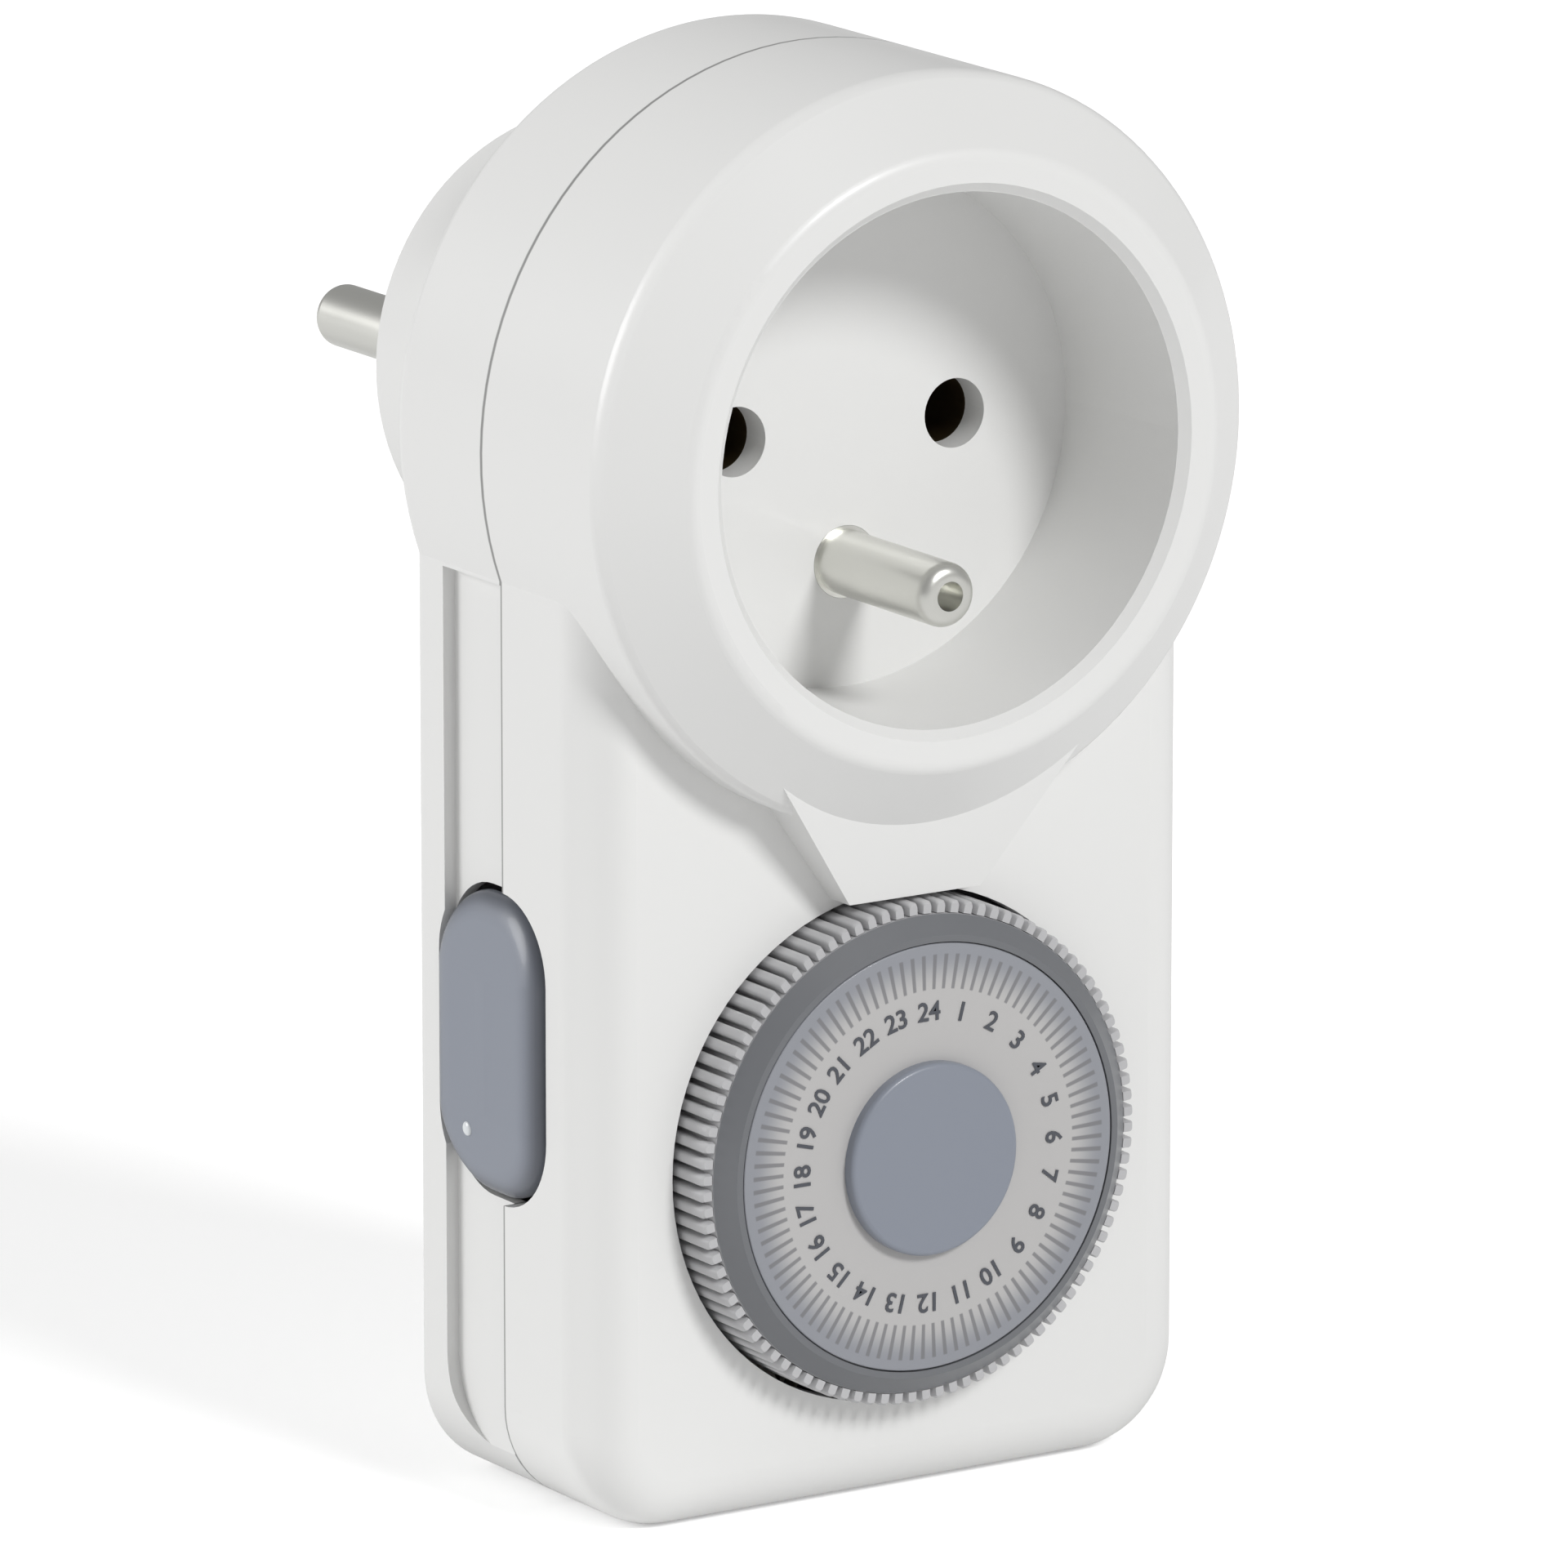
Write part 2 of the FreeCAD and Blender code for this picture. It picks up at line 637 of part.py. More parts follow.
def socket_contacts():
    """The contact sleeves behind the two holes and the block that carries them."""
    node(tube("live_sleeve_solid", "hole_radius", "sleeve_radius", "floor_back", "sleeve_back", "pin_x"),
         "live_sleeve")
    node(turned("neutral_sleeve_solid", [
        ("hole_radius", "floor_back"), ("sleeve_radius", "floor_back"),
        ("sleeve_radius", "pin_end - sleeve_wall"),
        ("shank_radius + seat_gap + sleeve_wall", "pin_end - sleeve_wall"),
        ("shank_radius + seat_gap + sleeve_wall", "pin_end + sleeve_reach"),
        ("shank_radius + seat_gap", "pin_end + sleeve_reach"), ("shank_radius + seat_gap", "pin_end"),
        ("hole_radius", "pin_end")], "-pin_x"), "neutral_sleeve")
    carrier = drum("carrier_disc", "carrier_radius", "floor_back", "carrier_back")
    bores = [drum("carrier_live", "sleeve_radius + seat_gap", "floor_back - past",
                  "carrier_back + past", "pin_x"),
             drum("carrier_neutral", "sleeve_radius + seat_gap", "floor_back - past", "carrier_back + past",
                  "-pin_x"),
             drum("carrier_earth", "earth_shank + seat_gap", "floor_back - past", "carrier_back + past", "0",
                  "-earth_offset")]
    node(without("contact_carrier_solid", carrier, bores), "contact_carrier")


def ring_strip(name, x, bore, front, back, parts):
    """A copper strip with a ring at its top that fits round a pin or a sleeve."""
    ring = drum(name + "_ring", bore + " + lug_wall + seat_gap", front, back, x)
    return without(name + "_solid", joined(name + "_blank", [ring] + parts),
                   [drum(name + "_bore", bore + " + seat_gap", "%s - past" % front, "%s + past" % back, x)])


def busbars():
    """The copper strips: supply to switch, switch to socket, and the neutral one."""
    live_x = ("pin_x - strip_half_width", "pin_x + strip_half_width")
    live = ring_strip("live_busbar", "pin_x", "shank_radius", "live_ring_front", "live_ring_back", [
        block("live_strip", live_x, ("live_ring_front", "live_ring_back"),
              ("tab_low", "-shank_radius - lug_wall / 2")),
        block("live_tab", live_x, ("switch_front + tab_rise", "live_ring_back"), ("tab_low", "tab_high"))])
    node(live, "live_busbar")
    load_x = ("load_left", "load_right")
    load_y = ("carrier_back", "load_ring_back")
    load = ring_strip("load_busbar", "pin_x", "sleeve_radius", "carrier_back", "load_ring_back", [
        block("load_arm", ("pin_x + sleeve_radius + lug_wall / 2", "load_right"), load_y,
              ("-strip_half_width", "strip_half_width")),
        block("load_strip", load_x, load_y, ("tab_low", "strip_half_width")),
        block("load_tab", load_x, ("blade_back", "load_ring_back"), ("tab_low", "tab_high"))])
    node(load, "load_busbar")
    neutral_x = ("-pin_x - strip_half_width", "-pin_x + strip_half_width")
    neutral = ring_strip("neutral_busbar", "-pin_x", "sleeve_radius", "carrier_back", "load_ring_back", [
        block("neutral_strip", neutral_x, ("carrier_back", "load_ring_back"),
              ("-plate_top_drop", "-sleeve_radius - lug_wall / 2"))])
    node(neutral, "neutral_busbar")


def switch_parts():
    """The snap switch at the top right of the dial: open case, lever, lever pin and spring blade."""
    case = block("switch_block", ("switch_left", "switch_right"), ("switch_front", "switch_rear"),
                 ("-switch_low", "-switch_high"))
    room = block("switch_room", ("switch_left + switch_wall", "switch_right - switch_wall"),
                 ("switch_front - past", "switch_rear - switch_wall"),
                 ("-switch_low + switch_wall", "-switch_high + past"))
    ear_x = ("lever_pivot - lever_hub_radius", "lever_pivot + lever_hub_radius")
    ear_y = ("lever_front - ear_front", "switch_front + past")
    ears = [block("ear_below", ear_x, ear_y, ("-switch_low", "ear_low")),
            block("ear_above", ear_x, ear_y, ("ear_high", "ear_top"))]
    hole = post("ear_hole", "lever_pin_radius + seat_gap", "-switch_low - past", "ear_top + past",
                "lever_pivot",
                "pin_y")
    slot = block("live_slot", ("pin_x - strip_half_width - lever_side_gap",
                               "pin_x + strip_half_width + lever_side_gap"),
                 ("live_ring_front - lever_side_gap", "switch_rear + past"),
                 ("-switch_low + switch_wall", "0"))
    solid = joined("switch_shell", [without("switch_hollow", case, [room])] + ears)
    node(without("switch_case_solid", solid, [hole, slot]), "switch_case")
    lever_z = ("-lever_drop - lever_half_height", "-lever_drop + lever_half_height")
    arm = block("lever_arm", ("lever_nose", "lever_pivot"), ("lever_front", "lever_back"), lever_z)
    hub = post("lever_hub", "lever_hub_radius", lever_z[0], lever_z[1], "lever_pivot", "pin_y")
    bore = post("lever_bore", "lever_pin_radius + running_gap", "-switch_low", "ear_top", "lever_pivot",
                "pin_y")
    node(without("switch_lever_solid", joined("lever_blank", [arm, hub]), [bore]), "switch_lever")
    node(post("lever_pin_solid", "lever_pin_radius", "-switch_low", "ear_top", "lever_pivot", "pin_y"),
         "lever_pin")
    node(block("switch_blade_solid", ("pin_x - strip_half_width", "load_right"),
               ("blade_front", "blade_back"),
               ("-lever_drop - strip_half_width", "tab_high")), "switch_blade")


def tooth_ring(centre, teeth, phase, front, back, bore):
    """A spur gear along Y. Each tooth is a trapezium on the root circle."""
    module = value("tooth_module")
    pitch_radius = module * teeth / 2
    root, tip = pitch_radius - module, pitch_radius + 0.8 * module
    step = 2 * math.pi / teeth
    corners = []
    for index in range(teeth):
        middle_angle = phase + index * step
        for radius, share in ((root, -0.27), (tip, -0.12), (tip, 0.12), (root, 0.27)):
            angle = middle_angle + share * step
            corners.append(FreeCAD.Vector(centre[0] + radius * math.cos(angle), front,
                                          centre[1] + radius * math.sin(angle)))
    corners.append(corners[0])
    ring = Part.Face(Part.makePolygon(corners)).extrude(FreeCAD.Vector(0, back - front, 0))
    hole = Part.makeCylinder(bore, back - front + 2, FreeCAD.Vector(centre[0], front - 1, centre[1]),
                             FreeCAD.Vector(0, 1, 0))
    return ring.cut(hole)


def collar(centre, radius, front, back, bore):
    """A plain round collar along Y with a bore."""
    along = FreeCAD.Vector(0, 1, 0)
    base = FreeCAD.Vector(centre[0], front, centre[1])
    outer = Part.makeCylinder(radius, back - front, base, along)
    return outer.cut(Part.makeCylinder(bore, back - front, base, along))


def step_from(start, distance, degrees):
    return (start[0] + distance * math.cos(math.radians(degrees)),
            start[1] + distance * math.sin(math.radians(degrees)))


def gear_centres():
    """Centres of the train, from the dial down to the rotor."""
    module = value("tooth_module")
    small, large, dial = (value(name) for name in ("pinion_teeth", "wheel_teeth", "dial_teeth"))
    dial_centre = (0.0, -value("dial_drop"))
    third = step_from(dial_centre, module * (dial + small) / 2, -135)
    clutch = step_from(third, module * (large + small) / 2, 0)
    first = step_from(clutch, module * (large + small) / 2, 0)
    rotor = step_from(first, module * (large + small) / 2, 85)
    return {"dial": dial_centre, "third": third, "clutch": clutch, "first": first, "rotor": rotor}


def facing(one, other):
    """Angle from one centre to the other."""
    return math.atan2(other[1] - one[1], other[0] - one[0])


def feature(name, shape):
    solid = doc.addObject("Part::Feature", name + "_solid")
    solid.Shape = shape
    return node(solid, name)


def gear_train():
    """Third gear, slipping clutch pinion and wheel, first gear, and the rotor's own pinion."""
    centre = gear_centres()
    small, large = int(value("pinion_teeth")), int(value("wheel_teeth"))
    bore = value("arbor_radius") + value("running_gap")
    half_small, half_large = math.pi / small, math.pi / large
    layer = {name: (value(name + "_front"), value(name + "_back"))
             for name in ("dial_gear", "second", "third", "fourth")}
    link = value("tooth_module") * small / 2 - value("tooth_module")

    pinion = tooth_ring(centre["third"], small, facing(centre["third"], centre["dial"]) + half_small,
                        *layer["dial_gear"], bore)
    wheel = tooth_ring(centre["third"], large, facing(centre["third"], centre["clutch"]),
                       *layer["second"], bore)
    neck = collar(centre["third"], link, layer["dial_gear"][1], layer["second"][0], bore)
    feature("third_gear", pinion.fuse(neck).fuse(wheel))

    feature("clutch_pinion", tooth_ring(centre["clutch"], small,
                                        facing(centre["clutch"], centre["third"]) + half_small,
                                        *layer["second"], bore))
    feature("clutch_wheel", tooth_ring(centre["clutch"], large,
                                       facing(centre["clutch"], centre["first"]), *layer["third"], bore))

    pinion = tooth_ring(centre["first"], small, facing(centre["first"], centre["clutch"]) + half_small,
                        *layer["third"], bore)
    wheel = tooth_ring(centre["first"], large, facing(centre["first"], centre["rotor"]),
                       *layer["fourth"], bore)
    neck = collar(centre["first"], link, layer["third"][1], layer["fourth"][0], bore)
    feature("first_gear", pinion.fuse(neck).fuse(wheel))

    pinion = tooth_ring(centre["rotor"], small, facing(centre["rotor"], centre["first"]) + half_small,
                        *layer["fourth"], bore)
    magnet_front = value("can_front") + value("magnet_gap")
    magnet_back = value("can_back") - value("motor_wall") - value("magnet_gap")
    neck = collar(centre["rotor"], link, layer["fourth"][1], magnet_front, bore)
    magnet = collar(centre["rotor"], value("rotor_radius"), magnet_front, magnet_back, bore)
    feature("rotor", pinion.fuse(neck).fuse(magnet))


def round_bar(centre, radius, front, back):
    return Part.makeCylinder(radius, back - front, FreeCAD.Vector(centre[0], front, centre[1]),
                             FreeCAD.Vector(0, 1, 0))


def arbors_and_plate():
    """The gear plate, the fixed arbors that stand in it, and the dial axle."""
    centre = gear_centres()
    radius, seat = value("arbor_radius"), value("seat_gap")
    back = value("plate_back")
    starts = {"third": value("dial_gear_front"), "clutch": value("second_front"),
              "first": value("third_front")}
    feature("gear_arbors", Part.makeCompound([round_bar(centre[name], radius, front, back)
                                              for name, front in starts.items()]))
    feature("rotor_shaft", round_bar(centre["rotor"], radius, value("fourth_front"),
                                     value("can_back") - value("motor_wall")))
    axle_front = value("web_front") + seat
    axle = round_bar(centre["dial"], value("axle_radius"), axle_front, back)
    feature("dial_axle", axle)

    outline = plate("gear_plate_blank", [
        ("-plate_half_width", "-plate_bottom_drop"), ("plate_half_width", "-plate_bottom_drop"),
        ("plate_half_width", "-plate_top_drop"), ("-plate_half_width", "-plate_top_drop")],
        "plate_front", "plate_back")
    doc.recompute()
    solid = outline.Shape
    for name in starts:
        solid = solid.cut(round_bar(centre[name], radius + seat, value("plate_front") - 1, back + 1))
    solid = solid.cut(round_bar(centre["dial"], value("axle_radius") + seat,
                                value("plate_front") - 1, back + 1))
    neck = value("tooth_module") * value("pinion_teeth") / 2
    solid = solid.cut(round_bar(centre["rotor"], neck, value("plate_front") - 1, back + 1))
    feature("gear_plate", solid)


def motor():
    """The synchronous motor: can, front plate, bobbin and coil round the rotor."""
    centre = gear_centres()["rotor"]
    wall, radius = value("motor_wall"), value("motor_radius")
    seat = value("seat_gap")
    front, back = value("can_front"), value("can_back")
    can = round_bar(centre, radius, front, back)
    can = can.cut(round_bar(centre, radius - wall, front - 1, back - wall))
    feature("motor_can", can.cut(round_bar(centre, value("arbor_radius") + seat, back - wall - 1, back + 1)))
    plate_hole = value("tooth_module") * value("pinion_teeth") / 2
    feature("motor_plate", round_bar(centre, radius, value("plate_back"), front)
            .cut(round_bar(centre, plate_hole, value("plate_back") - 1, front + 1)))
    start, stop = front + 0.1, back - wall - 0.1
    bore, rim = value("bobbin_bore"), value("bobbin_radius")
    side = value("bobbin_wall")
    spool = round_bar(centre, rim, start, stop).cut(round_bar(centre, bore, start - 1, stop + 1))
    groove = collar(centre, rim + 1, start + side, stop - side, bore + side)
    feature("motor_bobbin", spool.cut(groove))
    feature("motor_coil", collar(centre, value("coil_radius"), start + side, stop - side,
                                 bore + side + seat))


def dial():
    """Dial wheel with its rim, core and rear gear, the scale ring and the hub cap."""
    wheel = turned("dial_wheel_turned", [
        ("axle_radius + running_gap", "web_front"), ("scale_radius", "web_front"),
        ("scale_radius", "dial_face"), ("dial_face_radius", "dial_face"),
        ("drum_radius", "rim_front"), ("drum_radius", "tappet_back"),
        ("drum_radius - drum_wall", "tappet_back"), ("drum_radius - drum_wall", "web_front + dial_web"),
        ("dial_core_radius", "web_front + dial_web"), ("dial_core_radius", "dial_gear_front"),
        ("axle_radius + running_gap", "dial_gear_front")], "0", "-dial_drop")
    doc.recompute()
    centre = gear_centres()
    phase = facing(centre["dial"], centre["third"])
    teeth = tooth_ring(centre["dial"], int(value("dial_teeth")), phase, value("dial_gear_front"),
                       value("dial_gear_back"), value("axle_radius") + value("running_gap"))
    feature("dial_wheel", wheel.Shape.fuse(teeth))
    node(tube("dial_scale_solid", "dial_hub_radius + scale_gap", "scale_radius - scale_gap", "dial_face",
              "web_front", "0", "-dial_drop"), "dial_scale")
    raw = drum("dial_hub_raw", "dial_hub_radius", "dial_face - dial_hub_rise", "web_front", "0",
               "-dial_drop")
    top = value("dial_face") - value("dial_hub_rise")
    node(rounded("dial_hub_solid", raw, "scale_thickness", lambda edge: near(middle(edge).y, top)
                 and edge.BoundBox.XLength > 1), "dial_hub")


def tappet_set(name, numbers):
    """Small upright tongues round the dial's drum, one for each quarter of an hour."""
    inner = value("drum_radius") + value("tappet_gap")
    height, width = value("tappet_height"), value("tappet_width")
    front, length = value("rim_front"), value("tappet_length")
    step = 360.0 / value("tappet_count")
    tongues = []
    for number in numbers:
        tongue = Part.makeBox(height, length, width, FreeCAD.Vector(inner, front, -width / 2))
        tongue.rotate(FreeCAD.Vector(0, 0, 0), FreeCAD.Vector(0, 1, 0), -(number + 0.5) * step)
        tongue.translate(FreeCAD.Vector(0, 0, -value("dial_drop")))
        tongues.append(tongue)
    feature(name, Part.makeCompound(tongues))


def tappets():
    count, block_count = int(value("tappet_count")), int(value("tappet_block_count"))
    first = int(count * 0.55)
    chosen = range(first, first + block_count)
    tappet_set("tappets", [number for number in range(count) if number not in chosen])
    tappet_set("tappet_block", list(chosen))


def rocker():
    """The override rocker on the left side and the steel pin that it rocks on."""
    outline = rocker_outline("rocker_prism", "0", "rocker_face", "rocker_back")
    crown = drum("rocker_crown_cut", "rocker_crown", "parting - 2 * rear_depth", "rear_face",
                 "rocker_face + rocker_crown", "-rocker_drop")
    cap = common("rocker_cap", outline, crown)
    face = value("rocker_face") + 1.0
    edged = rounded("rocker_edged", cap, "mouth_rounding",
                    lambda edge: edge.BoundBox.XMax < face + 0.2 and edge.Length > 0.5)
    hub = drum("rocker_hub", "rocker_hub_radius", "rocker_middle - rocker_width / 2",
               "rocker_middle + rocker_width / 2", "rocker_back", "-rocker_drop")
    bore = drum("rocker_bore", "rocker_pin_radius + running_gap", "parting - rear_depth", "rear_face",
                "rocker_back", "-rocker_drop")
    node(without("override_rocker_solid", joined("rocker_blank", [edged, hub]), [bore]), "override_rocker")
    node(drum("rocker_pin_solid", "rocker_pin_radius", "inner_front + wall", "inner_rear", "rocker_back",
              "-rocker_drop"), "rocker_pin")


def case_screws():
    """Four screws that close the case from the rear."""
    screws = []
    for x_name, z_name, side_x, side_z in (("screw_x_low", "screw_drop_low", 1, -1),
                                           ("screw_x_low", "screw_drop_low", -1, -1),
                                           ("screw_high", "screw_high", 1, 1),
                                           ("screw_high", "screw_high", -1, 1)):
        centre = (side_x * value(x_name), side_z * value(z_name))
        seat = value("screw_seat")
        head = round_bar(centre, value("screw_head_radius"), seat, seat + value("screw_head_height"))
        shank = round_bar(centre, value("screw_radius"), seat - value("screw_length"), seat)
        corner = FreeCAD.Vector(centre[0] - value("screw_head_radius") - 1,
                                seat + value("screw_head_height") - value("screw_slot_depth"),
                                centre[1] - value("screw_slot_width") / 2)
        slot = Part.makeBox(2 * value("screw_head_radius") + 2, 1, value("screw_slot_width"), corner)
        screws.append(head.fuse(shank).cut(slot))
    feature("case_screws", Part.makeCompound(screws))


def check_and_write():
    doc.recompute()
    faults = [item.Name for item in doc.Objects if "Invalid" in item.State or "Error" in item.State]
    for item in NODES:
        if item.Shape.isNull() or not item.Shape.isValid() or not item.Shape.Solids:
            faults.append(item.Label)
    if faults:
        raise RuntimeError("not sound: " + ", ".join(faults))
    os.makedirs("parts", exist_ok=True)
    for item in NODES:
        item.Shape.exportStep(os.path.join("parts", item.Label + ".step"))
        box = item.Shape.BoundBox
        print("%-16s solids %2d  volume %9.2f  x %.1f..%.1f  y %.1f..%.1f  z %.1f..%.1f" % (
            item.Label, len(item.Shape.Solids), item.Shape.Volume, box.XMin, box.XMax, box.YMin, box.YMax,
            box.ZMin, box.ZMax))


fill_sheet()
front_cover()
rear_cover()
plug_pins()
earth_parts()
socket_contacts()
busbars()
switch_parts()
gear_train()
arbors_and_plate()
motor()
dial()
tappets()
rocker()
case_screws()
check_and_write()
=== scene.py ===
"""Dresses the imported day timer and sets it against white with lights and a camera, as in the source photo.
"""

import json
import logging
import math
from dataclasses import dataclass
from enum import Enum
from typing import Sequence

import bpy
import numpy as np
from mathutils import Euler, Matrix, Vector

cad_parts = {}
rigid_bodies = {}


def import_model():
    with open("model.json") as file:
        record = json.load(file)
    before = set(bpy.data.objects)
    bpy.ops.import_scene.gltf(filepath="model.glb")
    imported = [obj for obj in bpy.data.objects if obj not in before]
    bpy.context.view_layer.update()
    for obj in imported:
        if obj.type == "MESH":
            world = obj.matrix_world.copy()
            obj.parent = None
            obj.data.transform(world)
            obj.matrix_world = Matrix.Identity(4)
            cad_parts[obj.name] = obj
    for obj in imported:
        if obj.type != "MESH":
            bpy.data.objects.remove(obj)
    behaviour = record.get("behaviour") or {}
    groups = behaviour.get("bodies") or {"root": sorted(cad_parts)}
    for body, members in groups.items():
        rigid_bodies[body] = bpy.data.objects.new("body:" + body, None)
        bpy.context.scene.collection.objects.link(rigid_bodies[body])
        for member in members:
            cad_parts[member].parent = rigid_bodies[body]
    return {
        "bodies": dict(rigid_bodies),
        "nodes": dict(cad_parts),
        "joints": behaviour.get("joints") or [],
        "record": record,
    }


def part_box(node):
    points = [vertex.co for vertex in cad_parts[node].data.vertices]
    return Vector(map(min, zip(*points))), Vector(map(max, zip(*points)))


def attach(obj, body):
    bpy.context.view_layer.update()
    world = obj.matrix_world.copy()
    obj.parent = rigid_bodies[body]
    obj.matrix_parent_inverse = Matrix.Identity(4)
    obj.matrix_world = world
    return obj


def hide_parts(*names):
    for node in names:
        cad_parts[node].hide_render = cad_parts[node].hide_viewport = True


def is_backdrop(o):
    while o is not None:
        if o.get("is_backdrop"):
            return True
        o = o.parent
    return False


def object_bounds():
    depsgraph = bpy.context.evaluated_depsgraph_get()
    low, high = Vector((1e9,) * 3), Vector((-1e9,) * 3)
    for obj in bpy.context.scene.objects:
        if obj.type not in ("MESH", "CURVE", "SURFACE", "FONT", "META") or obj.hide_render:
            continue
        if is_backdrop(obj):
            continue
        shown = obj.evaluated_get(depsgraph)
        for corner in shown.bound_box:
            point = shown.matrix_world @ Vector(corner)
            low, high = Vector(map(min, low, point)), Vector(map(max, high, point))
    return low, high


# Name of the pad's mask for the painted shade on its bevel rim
RIM_SHADE = "rim"
HOURS = 24
# From the case's front face back to the seam of its two covers, in metres
SEAM_DEPTH = 0.020
LOG = logging.getLogger("day_timer")

Colour = tuple[float, float, float]


class Slot(Enum):
    """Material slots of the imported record."""

    SHELL = "white_shell"
    NICKEL = "nickel"
    BRASS = "brass_strip"
    INNER = "inner_plastic"
    STEEL = "steel"
    GEAR = "gear_plastic"
    MAGNET = "magnet"
    WIRE = "copper_wire"
    DIAL = "dial_grey"
    SCALE = "scale_print"
    BLUE_GREY = "blue_grey"
    TONGUE = "tappet_grey"


def box_of(node: str) -> tuple[np.ndarray, np.ndarray]:
    """Corners of a CAD node.

    Args:
        node: Name of the node.

    Returns:
        Its lowest and highest corner in the row frame, in metres.
    """
    low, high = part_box(node)
    return np.array(low), np.array(high)


# Shared shader groups


@dataclass(frozen=True)
class GroupBuilder:
    """Builds a shader node group once and gives it back afterwards.

    Attributes:
        name: Name of the group.
    """

    name: str

    def start(self, inputs: Sequence[tuple[str, str]], outputs: Sequence[tuple[str, str]],
              ) -> tuple[bpy.types.NodeTree, bpy.types.Node, bpy.types.Node]:
        """Make the empty group with its sockets.

        Args:
            inputs: Name and socket type of each input.
            outputs: Name and socket type of each output.

        Returns:
            The group, its input node and its output node.
        """
        group = bpy.data.node_groups.new(self.name, "ShaderNodeTree")
        for label, kind in inputs:
            group.interface.new_socket(name=label, in_out="INPUT", socket_type=kind)
        for label, kind in outputs:
            group.interface.new_socket(name=label, in_out="OUTPUT", socket_type=kind)
        return group, group.nodes.new("NodeGroupInput"), group.nodes.new("NodeGroupOutput")


class GrainGroup(GroupBuilder):
    """Fine moulded grain: a height that follows small noise, and a patchy roughness."""

    def build(self) -> bpy.types.NodeTree:
        """Build the group, or find it.

        Returns:
            The group, with outputs Height and Roughness.
        """
        if self.name in bpy.data.node_groups:
            return bpy.data.node_groups[self.name]
        group, entry, leave = self.start(
            [("Scale", "NodeSocketFloat"), ("Roughness", "NodeSocketFloat"), ("Spread", "NodeSocketFloat")],
            [("Height", "NodeSocketFloat"), ("Roughness", "NodeSocketFloat")])
        place = group.nodes.new("ShaderNodeTexCoord")
        fine = group.nodes.new("ShaderNodeTexNoise")
        fine.inputs["Detail"].default_value = 3.0
        broad = group.nodes.new("ShaderNodeTexNoise")
        broad.inputs["Scale"].default_value = 90.0
        broad.inputs["Detail"].default_value = 2.0
        spread = group.nodes.new("ShaderNodeMath")
        spread.operation = "MULTIPLY_ADD"
        link = group.links.new
        link(place.outputs["Object"], fine.inputs["Vector"])
        link(place.outputs["Object"], broad.inputs["Vector"])
        link(entry.outputs["Scale"], fine.inputs["Scale"])
        link(broad.outputs["Fac"], spread.inputs[0])
        link(entry.outputs["Spread"], spread.inputs[1])
        link(entry.outputs["Roughness"], spread.inputs[2])
        link(fine.outputs["Fac"], leave.inputs["Height"])
        link(spread.outputs["Value"], leave.inputs["Roughness"])
        return group


class DustGroup(GroupBuilder):
    """A faint warm dust that settles in broad patches over a colour."""

    def build(self) -> bpy.types.NodeTree:
        """Build the group, or find it.

        Returns:
            The group, with input Color and output Color.
        """
        if self.name in bpy.data.node_groups:
            return bpy.data.node_groups[self.name]
        group, entry, leave = self.start(
            [("Color", "NodeSocketColor"), ("Amount", "NodeSocketFloat")], [("Color", "NodeSocketColor")])
        place = group.nodes.new("ShaderNodeTexCoord")
        cloud = group.nodes.new("ShaderNodeTexNoise")
        cloud.inputs["Scale"].default_value = 35.0
        cloud.inputs["Detail"].default_value = 4.0
        share = group.nodes.new("ShaderNodeMath")
        share.operation = "MULTIPLY"
        mix = group.nodes.new("ShaderNodeMix")
        mix.data_type = "RGBA"
        mix.inputs["B"].default_value = (0.60, 0.58, 0.54, 1.0)
        link = group.links.new
        link(place.outputs["Object"], cloud.inputs["Vector"])
        link(cloud.outputs["Fac"], share.inputs[0])
        link(entry.outputs["Amount"], share.inputs[1])
        link(share.outputs["Value"], mix.inputs["Factor"])
        link(entry.outputs["Color"], mix.inputs["A"])
        link(mix.outputs["Result"], leave.inputs["Color"])
        return group


GRAIN = GrainGroup("moulded_grain")
DUST = DustGroup("settled_dust")


